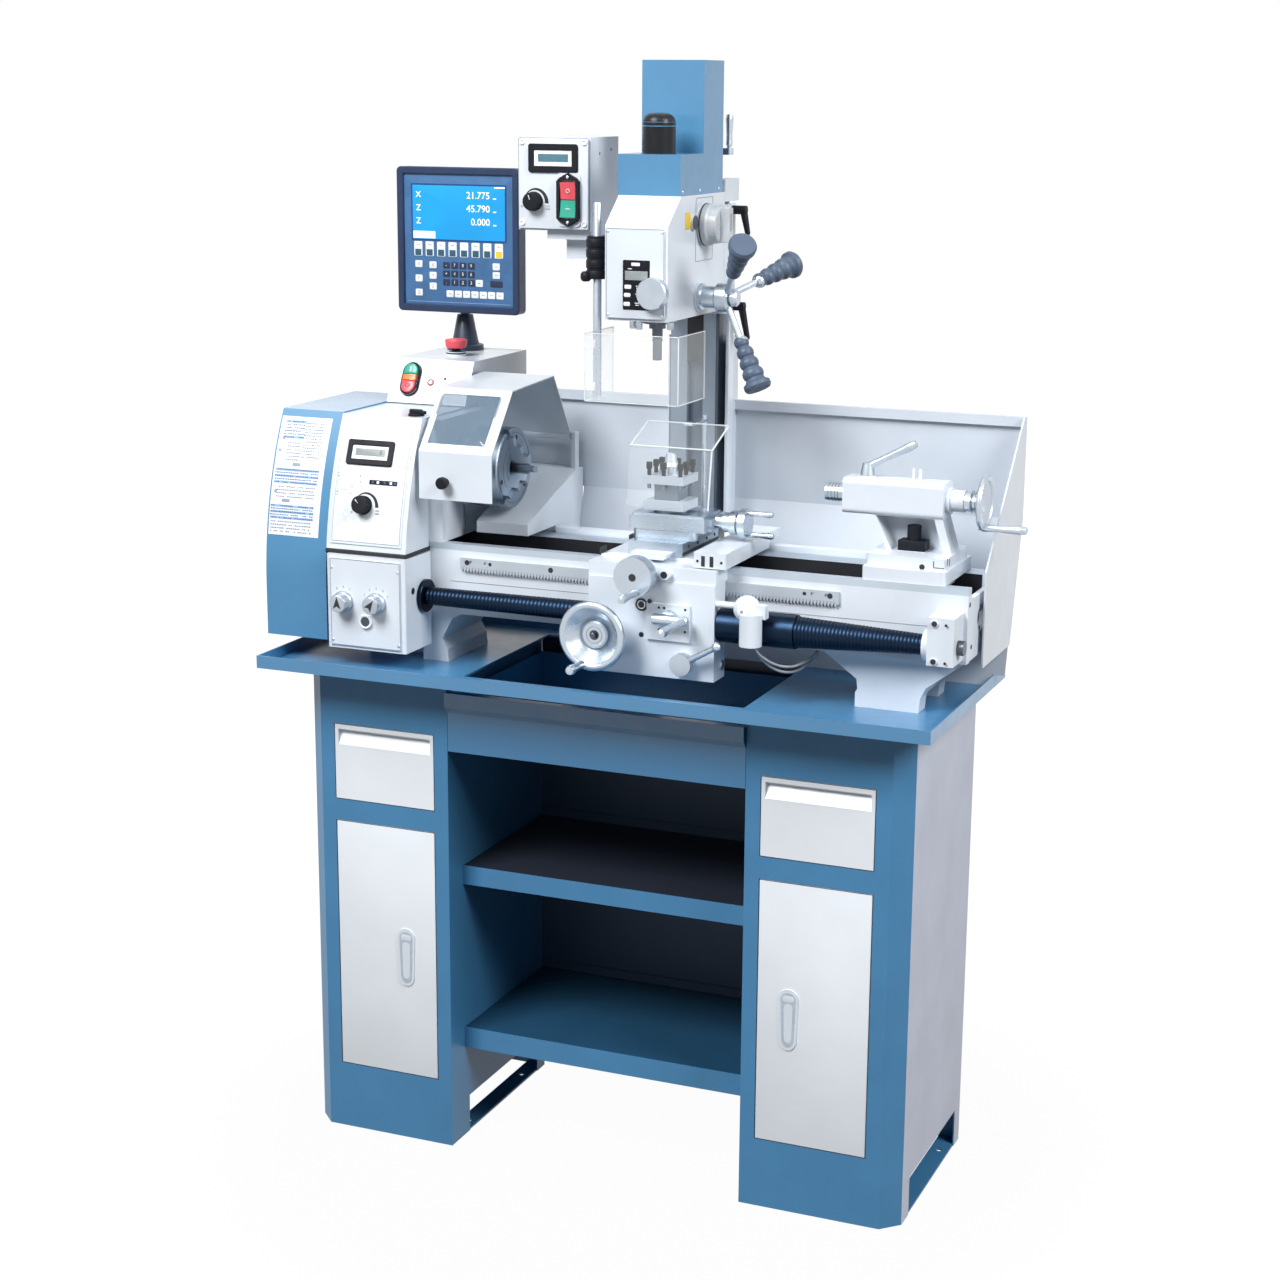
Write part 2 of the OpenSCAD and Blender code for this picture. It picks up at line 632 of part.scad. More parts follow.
// Children are placed at the lathe axis, local X axial, local Z radial.
module at_jaw(i) {
  translate([0, lathe_y, spin_z]) rotate([20 + 120 * i, 0, 0]) children();
}

module chuck() color("silver") seat() difference() {
  union() {
    rod_x([chuck_x[0], chuck_x[1] + 1], lathe_y, spin_z, 60);
    translate([chuck_x[1], lathe_y, spin_z]) rotate([0, 90, 0]) rotate_extrude()
      polygon([[0, 0], [chuck_d / 2 - 2, 0], [chuck_d / 2, 2], [chuck_d / 2, 68], [chuck_d / 2 - 2, 70], [0, 70]]);
    rod_x([-420, chuck_x[0] + 1], lathe_y, spin_z, 30);
  }
  rod_x([-421, chuck_x[2] + 1], lathe_y, spin_z, 13);
  rod_x([chuck_x[1], chuck_x[2] + 1], lathe_y, spin_z, 20);
  for (i = [0 : 2]) at_jaw(i) {
    // T slot for the jaw
    block([chuck_x[2] - 12, chuck_x[2] + 1], [-jaw_slot[0] - slide, jaw_slot[0] + slide], [8, chuck_d]);
    block([chuck_x[2] - 12, chuck_x[2] - 5], [-jaw_slot[1] - slide, jaw_slot[1] + slide], [8, chuck_d]);
    // key socket in the rim, between two jaws
    rotate([60, 0, 0]) translate([chuck_x[1] + 34, 0, chuck_d / 2 - 14]) cylinder(h = 20, r = 6);
  }
}

// Stepped jaw on its T root.
module jaw(i) {
  x0 = chuck_x[2];
  at_jaw(i) {
    block([x0 - 12 + slide, x0 - 5 - slide], [-jaw_slot[1], jaw_slot[1]], [14, 66]);
    block([x0 - 6, x0 + jaw_reach - 24], [-jaw_slot[0], jaw_slot[0]], [14, 64]);
    block([x0 - 1, x0 + jaw_reach - 12], [-jaw_slot[0], jaw_slot[0]], [14, 46]);
    along_x([x0 - 1, x0 + jaw_reach])
      polygon([[-2.5, 9], [2.5, 9], [jaw_slot[0], 15], [jaw_slot[0], 29], [-jaw_slot[0], 29], [-jaw_slot[0], 15]]);
  }
}

module jaw_1() color("gray") seat() jaw(0);
module jaw_2() color("gray") seat() jaw(1);
module jaw_3() color("gray") seat() jaw(2);

// ---- leadscrew ----

module leadscrew() color("dimgray") seat() {
  rod_x([gearbox_x[1] - 36, bracket_x[1] + 10], screw_y, screw_z, screw_r);
  rod_x([bracket_x[1] + 8 + slide, bracket_x[1] + 20], screw_y, screw_z, 13);
}

// Spiral covers: nested tube rings that close up as the carriage moves.
module cover_rings(x, r, rings) {
  step = (x[1] - x[0]) / rings;
  for (i = [0 : rings - 1])
    rod_x([x[0] + i * step, x[0] + (i + 1) * step + 0.01], screw_y, screw_z,
          r[0] + (r[1] - r[0]) * i / max(rings - 1, 1));
}

module left_screw_cover() color("black") seat() difference() {
  union() {
    rod_x([gearbox_x[1] + slide, gearbox_x[1] + 9], screw_y, screw_z, 31);
    cover_rings([gearbox_x[1] + 8, saddle_x[0] - slide], [17, 19], 8);
  }
  rod_x([gearbox_x[1], saddle_x[0]], screw_y, screw_z, 12);
}

module right_screw_cover() color("black") seat() difference() {
  union() {
    rod_x([saddle_x[1] + slide, 366], screw_y, screw_z, 31);
    cover_rings([365, bracket_x[0] - slide], [28, 18], 10);
  }
  rod_x([saddle_x[1], bracket_x[0]], screw_y, screw_z, 12);
}

// ---- carriage ----

crank_axis = [slide_x + 2, saddle_top - 19];
wheel_axis = [10, deck_z + 109];
lever_axis = [140, deck_z + 144];
nut_axis = [165, deck_z + 64];
switch_at = [286, -190, screw_z + 42];

module dovetail(top_half, root_half, h) {
  polygon([[-root_half, 0], [root_half, 0], [top_half, h], [-top_half, h]]);
}

module carriage() color("white") seat() difference() {
  union() {
    // saddle bridge over both ways
    along_y([bed_y[0] - 1, bed_y[1]]) polygon([[saddle_x[0], way_z + slide], [saddle_x[1], way_z + slide],
      [saddle_x[1], way_z + 6], [saddle_x[1] - 22, saddle_top], [saddle_x[0] + 22, saddle_top],
      [saddle_x[0], way_z + 6]]);
    // front of the saddle and the apron under it
    block(saddle_x, [apron_y + 3, bed_y[0] - slide], [way_z - 21, way_z + 4]);
    block([saddle_x[0] + 1, saddle_x[1] - 1], [apron_y, bed_y[0] - 6 - 1], [apron_z, way_z - 22]);
    block([saddle_x[0] + 1, saddle_x[1] - 1], [apron_y + 3, bed_y[0] - 7], [way_z - 23, way_z - 20]);
    // dovetail way for the cross slide
    translate([slide_x, 0, saddle_top - 1]) rotate([90, 0, 0]) translate([0, 0, -bed_y[1]])
      linear_extrude(bed_y[1] - apron_y - 28) dovetail(36, 28, 11);
    // cross-screw boss
    rod_y(crank_axis[0], [apron_y - 14, apron_y + 5], crank_axis[1], 24);
    // control block, hand-wheel boss and lever bosses
    block([94, 176], [apron_y - 6, apron_y + 1], [deck_z + 102, deck_z + 168]);
    rod_y(130, [apron_y - 9, apron_y + 4], saddle_top - 19, 9);
    rod_x([saddle_x[1] - 2, saddle_x[1] + 1.5], apron_y + 36, deck_z + 58, 11);
    rod_y(wheel_axis[0], [apron_y - 10, apron_y + 1], wheel_axis[1], 20);
    rod_y(nut_axis[0], [apron_y - 7, apron_y + 1], nut_axis[1], 21);
    // cover of the cross scale, along the right edge
    block([saddle_x[1] - 46, saddle_x[1] + 14], [apron_y + 12, bed_y[1]], [way_z + 6, way_z + 34]);
    block([saddle_x[1] - 46, saddle_x[1] + 14], [bed_y[1] - 1, bed_y[1] + 60], [way_z + 20, way_z + 34]);
    // interlock switch: arm, swivel head, cable head and side block
    rod_x([saddle_x[1] - 3, switch_at[0]], switch_at[1] + 20, switch_at[2] - 1, 6);
    translate(switch_at) sphere(r = 24);
    rod_z(switch_at[0] + 12, switch_at[1] - 13, [switch_at[2] - 62, switch_at[2] - 5], 20);
    block([switch_at[0] + 14, switch_at[0] + 38], [switch_at[1] - 12, switch_at[1] + 6],
          [switch_at[2] - 14, switch_at[2] + 10]);
  }
  // leadscrew passage
  rod_x([saddle_x[0] - 1, saddle_x[1] + 1], screw_y, screw_z, screw_r + 1);
  rod_y(crank_axis[0], [apron_y - 15, bed_y[0] - 3], crank_axis[1], 7 + fit);
  rod_y(wheel_axis[0], [apron_y - 11, apron_y + 24], wheel_axis[1], 8 + fit);
  rod_y(lever_axis[0], [apron_y - 7, apron_y + 20], lever_axis[1], 6 + fit);
  rod_y(nut_axis[0], [apron_y - 8, apron_y + 20], nut_axis[1], 7 + fit);
  // sockets in the apron
  rod_y(82, [apron_y - 1, apron_y + 6], deck_z + 162, 12);
  rod_y(100, [apron_y - 7, apron_y + 4], deck_z + 171, 4.5);
  rod_y(82, [apron_y - 1, apron_y + 4], deck_z + 107, 5);
}

module apron_handwheel() color("silver") seat()
  translate([wheel_axis[0], apron_y - 10 - slide, wheel_axis[1]]) rotate([90, 0, 0]) {
    translate([0, 0, -33]) cylinder(h = 34, r = 8);
    // dished wheel with a round rim
    rotate_extrude() {
      polygon([[0, 0], [22, 0], [23, 12], [50, 37], [50, 50], [43, 43], [25, 25], [25, 32], [22, 35], [0, 35]]);
      translate([56, 45]) circle(r = 7.5);
    }
    rotate([0, 0, -108]) translate([54, 0, 49]) crank_handle(58, 9);
  }

module feed_lever() color("silver") seat()
  translate([lever_axis[0], apron_y - 6 - slide, lever_axis[1]]) rotate([90, 0, 0]) {
    translate([0, 0, -22]) cylinder(h = 23, r = 6);
    cylinder(h = 12, r = 14);
    translate([-25, 0, 17]) rotate([0, 90, 0]) cylinder(h = 58, r = 10);
    translate([32, 0, 17]) sphere(r = 10);
    translate([31, 0, 20]) crank_handle(feed_crank, 9);
  }

module halfnut_lever() color("silver") seat()
  translate([nut_axis[0], apron_y - 7 - slide, nut_axis[1]]) rotate([90, 0, 0]) {
    translate([0, 0, -26]) cylinder(h = 27, r = 7);
    cylinder(h = 16, r = 20);
    rotate([0, 0, 30]) translate([10, 0, 8]) rotate([0, 78, 0]) {
      cylinder(h = 74, r1 = 6, r2 = 5);
      translate([0, 0, 76]) sphere(r = 9);
    }
  }

module cross_feed_crank() color("silver") seat()
  translate([crank_axis[0], apron_y - 14 - slide, crank_axis[1]]) rotate([90, 0, 0]) {
    translate([0, 0, -70]) cylinder(h = 71, r = 7);
    cylinder(h = 14, r = 30);
    translate([0, 0, 13]) cylinder(h = 26, r = 36);
    rotate([0, 0, -75]) translate([27, 0, 38]) crank_handle(cross_crank, 8);
  }

module cross_slide() color("silver") seat() difference() {
  union() {
    block([slide_x - slide_half, slide_x + slide_half], [-120, 60], [saddle_top + slide, cross_top]);
    rod_z(swivel[0], swivel[1], [cross_top - 1, cross_top + 5], 30);
  }
  // dovetail groove over the saddle way
  translate([slide_x, 0, saddle_top - 1]) rotate([90, 0, 0]) translate([0, 0, -61])
    linear_extrude(182) dovetail(36 + slide, 28 + slide, 11 + slide);
}

module compound_base() color("silver") seat() difference() {
  union() {
    slab([slide_x - 58, slide_x + 66], [-92, 12], [cross_top + slide, cross_top + 16], 14);
    translate([slide_x, -40, cross_top + 15]) rotate([90, 0, 90]) translate([0, 0, -60])
      linear_extrude(124) dovetail(34, 27, 10);
  }
  rod_z(swivel[0], swivel[1], [cross_top, cross_top + 5 + slide], 30 + fit);
}

module compound_slide() color("silver") seat() difference() {
  union() {
    slab([slide_x - 64, slide_x + 82], [-90, 10], [cross_top + 16 + slide, compound_top - 4], 3);
    slab([slide_x - 60, slide_x + 78], [-84, 4], [compound_top - 5, compound_top], 3);
    rod_z(post_at[0], post_at[1], [compound_top - 1, compound_top + 62], 9);
    block([slide_x + 81, slide_x + 89], [-72, -8], [cross_top + 17, compound_top - 6]);
    rod_x([slide_x + 88, slide_x + 102], -40, cross_top + 31, 14);
  }
  translate([slide_x, -40, cross_top + 15]) rotate([90, 0, 90]) translate([0, 0, -70])
    linear_extrude(165) dovetail(34 + slide, 27 + slide, 10 + slide);
  rod_x([slide_x + 40, slide_x + 103], -40, cross_top + 31, 5 + fit);
}

module compound_crank() color("silver") seat()
  translate([slide_x + 102 + slide, -40, cross_top + 31]) rotate([0, 90, 0]) {
    translate([0, 0, -60]) cylinder(h = 61, r = 5);
    rotate_extrude() polygon([[0, 0], [18, 0], [18, 12], [22, 14], [22, 26], [0, 26]]);
    translate([0, 0, 32]) cylinder(h = 13, r = 27);
    translate([0, 0, 25]) cylinder(h = 8, r = 14);
    for (a = [8, 188]) rotate([0, 0, a]) translate([20, 0, 44]) crank_handle(50, 6);
  }

module tool_post() color("silver") seat() difference() {
  z = compound_top + slide;
  union() {
    rod_z(post_at[0], post_at[1], [z, z + 7], 30);
    slab([post_at[0] - 39, post_at[0] + 39], [post_at[1] - 37, post_at[1] + 37], [z + 6, z + 22], 2);
    slab([post_at[0] - 23, post_at[0] + 23], [post_at[1] - 23, post_at[1] + 23], [z + 21, z + 54], 1);
    slab([post_at[0] - 39, post_at[0] + 39], [post_at[1] - 37, post_at[1] + 37], [z + 53, z + 68], 2);
    // clamping nut
    translate([post_at[0], post_at[1], z + 67]) rotate_extrude()
      polygon([[0, 0], [15, 0], [15, 16], [12, 22], [9, 38], [0, 40]]);
    // tool clamping screws
    for (i = [0 : 3]) translate([post_at[0], post_at[1], 0]) rotate([0, 0, 90 * i])
      for (u = [-30, -2]) translate([u, -30, z + 44]) {
        cylinder(h = 48, r = 3.5);
        translate([-4, -4, 36]) cube([8, 8, 12]);
      }
  }
  rod_z(post_at[0], post_at[1], [z - 1, z + 64], 9 + fit);
}

screen_at = [slide_x + 26, 50];

module chip_guard() color("lightblue") seat() {
  line = [[-128, compound_top + 20], [-112, way_z + 207], [-30, way_z + 240], [screen_at[1], way_z + 243]];
  along_x([30, 186]) bent_sheet([line[2], line[1], line[0]], 4);
  along_x([screen_at[0] - 9, screen_at[0] + 9]) bent_sheet([line[3], line[2] - [8, 3.2]], 5);
  // post collar that turns on the pillar
  rod_z(screen_at[0], screen_at[1], [cross_top + slide, cross_top + 12], 8);
  rod_z(screen_at[0], screen_at[1], [cross_top + 10, way_z + 246], 5);
}

module guard_cable() color("gray") seat() tube(cable_route, cable_r, 8);

// ---- tube swept along a route ----

function heading(p, i) = unit(p[min(i + 1, len(p) - 1)] - p[max(i - 1, 0)]);
module tube(p, r, sides) {
  n = len(p);
  ring = [for (i = [0 : n - 1]) let (h = heading(p, i), a = unit(cross(h, [0.3, 1, 0.2])), b = cross(h, a))
    for (k = [0 : sides - 1]) p[i] + r * (a * cos(360 * k / sides) + b * sin(360 * k / sides))];
  skin = [for (i = [0 : n - 2], k = [0 : sides - 1]) let (m = (k + 1) % sides)
    [i * sides + k, i * sides + m, (i + 1) * sides + m, (i + 1) * sides + k]];
  polyhedron(ring, concat([[for (k = [sides - 1 : -1 : 0]) k]], skin,
                          [[for (k = [0 : sides - 1]) (n - 1) * sides + k]]));
}

// ---- mill column and head ----

module column_tail(grow) {
  half = dovetail_w / 2;
  translate([column_x, column_y]) polygon([[-half - grow, -grow], [half + grow, -grow],
    [half - 10 + grow, 14], [-half + 10 - grow, 14]]);
}

module column() color("dimgray") seat() difference() {
  union() {
    translate([0, 0, way_z - 60]) linear_extrude(column_h + 60) column_tail(0);
    slab([column_x - 44, column_x + 45], [column_y + 13, column_y + column_depth],
         [way_z - 60, column_top], 4);
    // foot bolted to the back of the bed
    slab([column_x - 58, column_x + 57], [bed_y[1], column_y + column_depth], [bed_z + 4, way_z - 20], 6);
    // white cap
    slab([column_x - 50, column_x + 62], [column_y - 3, column_y + column_depth + 4],
         [column_top, column_top + 40], 4);
    rod_z(crank_at[0], crank_at[1], [column_top + 39, column_top + 60], 16);
  }
  // slot down the front of the way
  block([column_x - 12, column_x + 20], [column_y - 1, column_y + 14], [way_z + 60, column_top + 1]);
  rod_z(crank_at[0], crank_at[1], [way_z + 100, column_top + 61], 8 + fit);
}

module column_crank() color("silver") seat() {
  z = column_top + 60 + slide;
  rod_z(crank_at[0], crank_at[1], [way_z + 110, z + 1], 8);
  rod_z(crank_at[0], crank_at[1], [z, z + 22], 13);
  slab([crank_at[0] - 8, crank_at[0] + 52], [crank_at[1] - 8, crank_at[1] + 8], [z + 22, z + 34], 7.5);
  rod_z(crank_at[0], crank_at[1], [z + 21, z + 23], 7);
  translate([crank_at[0] + 44, crank_at[1], z + 34]) crank_handle(62, 7.5);
}

head_side = mill_x + head_half;
sight_at = [-36, head_z[1] + 2];
selector_at = [19, head_z[1] - 4];
fine_at = [mill_x + 36, head_z[0] + 50];
pin_upper = [150, head_z[1] + 16];
pin_lower = [148, head_z[0] + 5];

module mill_head() color("white") seat() difference() {
  union() {
    // gear case with its sloped brow
    along_x([mill_x - head_half, head_side]) polygon([[head_front_y, head_z[0]], [head_front_y, head_z[1]],
      [-90, head_z[1] + 49], [column_y - 12, head_z[1] + 49], [column_y - 12, head_z[0]]]);
    // front plate
    along_y([head_front_y - 3, head_front_y + 1]) translate([mill_x - 1, (head_z[0] + head_z[1]) / 2])
      round_rect(110, 156, 5);
    // saddle on the column way
    slab([column_x - 62, column_x + 66], [column_y - 14, column_y + 40], [head_z[0] - 8, head_z[1] + 26], 5);
    // quill boss, selector seat, capstan seat and sight ring
    rod_z(mill_x, mill_y, [head_z[0] - 8, head_z[0] + 1], 34);
    rod_x([head_side - 1, head_side + 4], capstan_at[1], capstan_at[2], 27);
    rod_x([head_side - 1, head_side + 5], selector_at[0], selector_at[1], 36);
    rod_x([head_side - 1, head_side + 6], sight_at[0], sight_at[1], 12);
    // clamp of the guard post
    rod_z(guard_at[0], guard_at[1], [head_z[0] + 68, head_z[0] + 142], 18);
    block([guard_at[0], mill_x - head_half + 1], [guard_at[1] - 9, guard_at[1] + 9],
          [head_z[0] + 84, head_z[0] + 126]);
    translate([guard_at[0] - 16, guard_at[1] - 14, head_z[0] + 72]) sphere(r = 9);
  }
  linear_extrude(3000) column_tail(slide);
  block([column_x - 62 + 14, column_x + 66 - 14], [column_y + 13, column_y + 41], [head_z[0] - 9, head_z[1] + 60]);
  rod_z(mill_x, mill_y, [head_z[0] - 9, head_z[1]], mill_quill_r + fit);
  rod_x([head_side - 40, head_side + 5], capstan_at[1], capstan_at[2], 9 + fit);
  rod_x([head_side - 20, head_side + 6], selector_at[0], selector_at[1], 8 + fit);
  rod_y(fine_at[0], [head_front_y - 4, head_front_y + 24], fine_at[1], 8 + fit);
  for (p = [pin_upper, pin_lower])
    rod_x([column_x + 52, column_x + 67], p[0], p[1], 6 + fit);
  rod_z(guard_at[0], guard_at[1], [head_z[0], head_z[1]], 7.5 + fit);
}

module head_cover() color("steelblue") seat() {
  z = head_z[1] + 49;
  along_x([mill_x - 62, mill_x + 57]) polygon([[-90, z], [-90, z + 71], [20, z + 71], [20, z + 232],
    [column_y - 20, z + 232], [column_y - 20, z]]);
  // drawbar cap
  translate([mill_x, mill_y, z + 70]) rotate_extrude()
    polygon([[0, 0], [29, 0], [29, 56], [27.5, 61], [24, 66], [17, 69], [0, 70]]);
}

module mill_quill() color("silver") seat() difference() {
  union() {
    rod_z(mill_x, mill_y, [head_z[0] - 12, head_z[0] + 130], mill_quill_r);
  }
  rod_z(mill_x, mill_y, [head_z[0] - 13, head_z[0] + 131], 12 + fit);
}

module mill_spindle() color("dimgray") seat() translate([mill_x, mill_y, head_z[0]]) rotate_extrude()
  polygon([[0, -78], [7.5, -78], [8.5, -76], [8.5, -38], [9.5, -37], [9.5, -22], [15, -21],
           [15, -12.5], [12, -12.5], [12, 134], [0, 134]]);

// Spokes of the capstan lean outwards; each carries a ribbed grip.
spoke_tip = [243 - mill_x - head_half, 159];

module ribbed_grip(l) {
  ribs = 4;
  rotate_extrude() polygon(concat([[0, 0], [9, 0]],
    [for (i = [0 : ribs - 1], s = [0 : 4])
      [(10 + 2 * i) + [0, 2.6, 3.6, 2.8, 0.6][s], l * 0.8 * (i + [0.08, 0.25, 0.5, 0.75, 0.94][s]) / ribs]],
    [[19, l * 0.84], [24.5, l * 0.88], [25, l * 0.95], [22, l], [0, l]]));
}

module capstan() color("silver") seat()
  translate([capstan_at[0] + 4 + slide, capstan_at[1], capstan_at[2]]) {
    rod_x([-40, 1], 0, 0, 9);
    rotate([0, 90, 0]) rotate_extrude()
      polygon([[0, 0], [24, 0], [24, 5], [19, 7], [19, 30], [25, 34], [25, 54], [18, 57], [11, 58], [11, 60],
               [15, 61], [15, 69], [12, 72], [0, 72]]);
    run = [spoke_tip[0] - 4 - 46, spoke_tip[1]];
    for (i = [0 : 2]) rotate([19.5 + 120 * i - 90, 0, 0]) translate([46, 0, 0])
      rotate([0, atan2(run[0], run[1]), 0]) {
        cylinder(h = norm(run) - 96, r = 6);
        translate([0, 0, norm(run) - 100]) ribbed_grip(100);
      }
  }

module fine_feed_wheel() color("silver") seat()
  translate([fine_at[0], head_front_y - 3 - slide, fine_at[1]]) rotate([90, 0, 0]) {
    translate([0, 0, -24]) cylinder(h = 25, r = 8);
    rotate_extrude() polygon([[0, 0], [26, 0], [28, 3], [28, 16], [26, 19], [0, 19]]);
  }

module gear_selector() color("silver") seat()
  translate([head_side + 5 + slide, selector_at[0], selector_at[1]]) rotate([0, 90, 0]) {
    translate([0, 0, -22]) cylinder(h = 23, r = 8);
    rotate_extrude() polygon([[0, 0], [37, 0], [37, 10], [34, 14], [32, 28], [29, 30], [0, 30]]);
    // finger bar across the knob
    intersection() {
      cylinder(h = 48, r = 31);
      translate([-32, -10, 28]) cube([64, 20, 19]);
    }
  }

module head_lever(at, arm) {
  translate([column_x + 66 + slide, at[0], at[1]]) {
    rod_x([-14, 1], 0, 0, 6);
    clamp_lever(arm);
  }
}

module head_lever_upper() color("black") seat() head_lever(pin_upper, 42);
module head_lever_lower() color("black") seat() head_lever(pin_lower, 58);

box_at = [-241, -97];
box_y = [0, 126];
box_z = [head_z[0] + 142, head_z[0] + 309];
mill_knob_at = [-207, box_z[0] + 52];
mill_switch_at = [-137, box_z[0] + 56];

module mill_control_box() color("white") seat() {
  difference() {
    union() {
      block(box_at, box_y, box_z);
      block([box_at[0] + 4, box_at[1] - 4], [box_y[0] - 3, box_y[0] + 1], [box_z[0] + 4, box_z[1] - 4]);
      // switch plate
      along_y([-8, -2]) translate(mill_switch_at) round_rect(46, 96, 8);
      // bracket to the head
      block([-188, -100], [10, 90], [box_z[0] - 16, box_z[0] + 1]);
      block([-160, -104], [34, 54], [box_z[0] - 52, box_z[0] - 15]);
      block([-106, mill_x - head_half - slide], [34, 54], [box_z[0] - 52, box_z[0] - 20]);
    }
    rod_y(mill_knob_at[0], [-4, 18], mill_knob_at[1], 5 + fit);
    block([mill_switch_at[0] - 16, mill_switch_at[0] + 16], [-9, 6],
          [mill_switch_at[1] - 35, mill_switch_at[1] + 35]);
  }
  // rocker pin
  rod_x([mill_switch_at[0] - 17, mill_switch_at[0] + 17], -4, mill_switch_at[1], 1.5);
}

module mill_speed_knob() color("black") seat()
  translate([mill_knob_at[0], box_y[0] - 3 - slide, mill_knob_at[1]]) rotate([90, 0, 0]) {
    translate([0, 0, -14]) cylinder(h = 15, r = 5);
    rotate_extrude() polygon([[0, 0], [17, 0], [17, 5], [14, 7], [13, 18], [11.5, 20], [0, 20]]);
  }

// Rocker of the mill switch, turning on a pin across its middle.
module mill_switch() color("crimson") seat() difference() {
  along_x([mill_switch_at[0] - 15.4, mill_switch_at[0] + 15.4]) translate([0, mill_switch_at[1]])
    polygon([[-14, -32], [-11, 0], [-14, 32], [-5, 32], [0, 10], [2, 0], [0, -10], [-5, -32]]);
  rod_x([mill_switch_at[0] - 20, mill_switch_at[0] + 20], -4, mill_switch_at[1], 1.5 + fit);
}

module spindle_guard() color("lightblue") seat() {
  z = [head_z[0] - 145, head_z[0] - 25];
  x = [-43, 137];
  y = [-150, -22];
  rod_z(guard_at[0], guard_at[1], [z[0] + 5, z[0] + 5 + guard_post_l], 7.5);
  block(x, [y[0], y[0] + 4], z);
  block([x[0], x[0] + 4], y, z);
  block([x[1] - 4, x[1]], y, z);
  for (h = [z[0] + 14, z[1] - 30])
    block([x[0] + 3, guard_at[0]], [guard_at[1] - 8, guard_at[1] + 8], [h, h + 16]);
}

// ---- tailstock ----

ts_x = [412, tail_x];
ts_base = [469, 618];

module tailstock() color("white") seat() difference() {
  union() {
    translate([ts_x[0], lathe_y, spin_z]) rotate([90, 0, 90]) linear_extrude(ts_x[1] - ts_x[0])
      round_rect(62, 62, 9);
    // leaning neck
    along_y([lathe_y - 26, lathe_y + 26]) polygon([[465, spin_z - 20], [590, spin_z - 20],
      [ts_base[1] - 6, way_z + 42], [494, way_z + 42]]);
    slab([ts_base[0] + 2, ts_base[1] - 4], [bed_y[0] + 18, bed_y[1] - 17], [way_z + 22, way_z + 44], 6);
    slab(ts_base, [bed_y[0] + 3, bed_y[1] - 4], [way_z + slide, way_z + 24], 4);
    // keel between the ways
    block([480, 600], [bed_y[0] + way_w[0] + 1, bed_y[1] - way_w[1] - 1], [way_z - 18, way_z + 1]);
    rod_x([ts_x[1] - 1, ts_x[1] + 8], lathe_y, spin_z, 23);
    rod_x([ts_x[1] + 7, ts_x[1] + 32], lathe_y, spin_z, 19);
    for (x = [529, 541]) rod_z(x, lathe_y + 8, [spin_z + 29, spin_z + 50], 3);
    rod_z(448, lathe_y, [spin_z + 30, spin_z + 34], 15);
  }
  rod_x([ts_x[0] - 1, ts_x[1] - 20], lathe_y, spin_z, quill_r + fit);
  rod_x([ts_x[1] - 21, ts_x[1] + 33], lathe_y, spin_z, 8 + fit);
  // clamp pocket with its nut
  difference() {
    along_y([lathe_y - 27, lathe_y + 16]) polygon([[473, spin_z - 31], [578, spin_z - 31],
      [596, way_z + 44], [503, way_z + 44]]);
    rod_z(539, lathe_y - 10, [way_z + 40, way_z + 88], 12);
    block([514, 562], [lathe_y - 24, lathe_y + 6], [way_z + 40, way_z + 62]);
  }
  rod_z(448, lathe_y, [spin_z + 15, spin_z + 35], 6 + fit);
}

module tailstock_quill() color("silver") seat() difference() {
  rod_x([ts_x[0] - 38, ts_x[1] - 80], lathe_y, spin_z, quill_r);
  // Morse taper socket and screw bore
  translate([ts_x[0] - 39, lathe_y, spin_z]) rotate([0, 90, 0]) cylinder(h = 70, r1 = 9.2, r2 = 7.5);
  rod_x([ts_x[0] + 30, ts_x[1] - 79], lathe_y, spin_z, 6 + fit);
}

module tailstock_handwheel() color("silver") seat() {
  x = ts_x[1] + 32 + slide;
  rod_x([ts_x[1] - 100, ts_x[1] - 30], lathe_y, spin_z, 6);
  rod_x([ts_x[1] - 31, x + 1], lathe_y, spin_z, 8);
  translate([x, lathe_y, spin_z]) rotate([0, 90, 0]) {
    rotate_extrude() {
      polygon([[0, 0], [17, 0], [17, 12], [14, 14], [14, 20], [40, 31], [40, 36], [15, 27], [15, 32], [0, 32]]);
      translate([43, 34]) circle(r = 5.5);
    }
    rotate([0, 0, -17]) translate([43, 0, 28]) crank_handle(tail_crank, 8);
  }
}

module quill_lock_lever() color("silver") seat() translate([448, lathe_y, spin_z + 34 + slide]) {
  translate([0, 0, -17]) cylinder(h = 18, r = 6);
  cylinder(h = 22, r1 = 13, r2 = 9);
  translate([0, 0, 15]) rotate([0, 62, 0]) crank_handle(100, 8);
}

cabinets();
bay_shelves();
chip_tray();
chip_drawer();
left_drawer();
right_drawer();
left_door();
right_door();
splash_guard();
bed();
headstock();
end_cover();
speed_knob();
feed_gearbox();
feed_knob_left();
feed_knob_right();
rear_housing();
start_button();
stop_button();
emergency_stop();
readout_display();
chuck_guard();
chuck();
jaw_1();
jaw_2();
jaw_3();
leadscrew();
left_screw_cover();
right_screw_cover();
carriage();
apron_handwheel();
feed_lever();
halfnut_lever();
cross_slide();
cross_feed_crank();
compound_base();
compound_slide();
compound_crank();
tool_post();
chip_guard();
column();
mill_head();
head_cover();
mill_quill();
mill_spindle();
capstan();
fine_feed_wheel();
gear_selector();
head_lever_upper();
head_lever_lower();
column_crank();
mill_control_box();
mill_speed_knob();
mill_switch();
spindle_guard();
tailstock();
tailstock_quill();
tailstock_handwheel();
quill_lock_lever();
guard_cable();
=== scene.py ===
# Looks of the combination lathe mill: finishes for its CAD nodes and the finer
# pieces that ride on them. Lengths in the shapes below are millimetres in the
# machine's own axes, and place() moves them into the frame, in metres.
import math

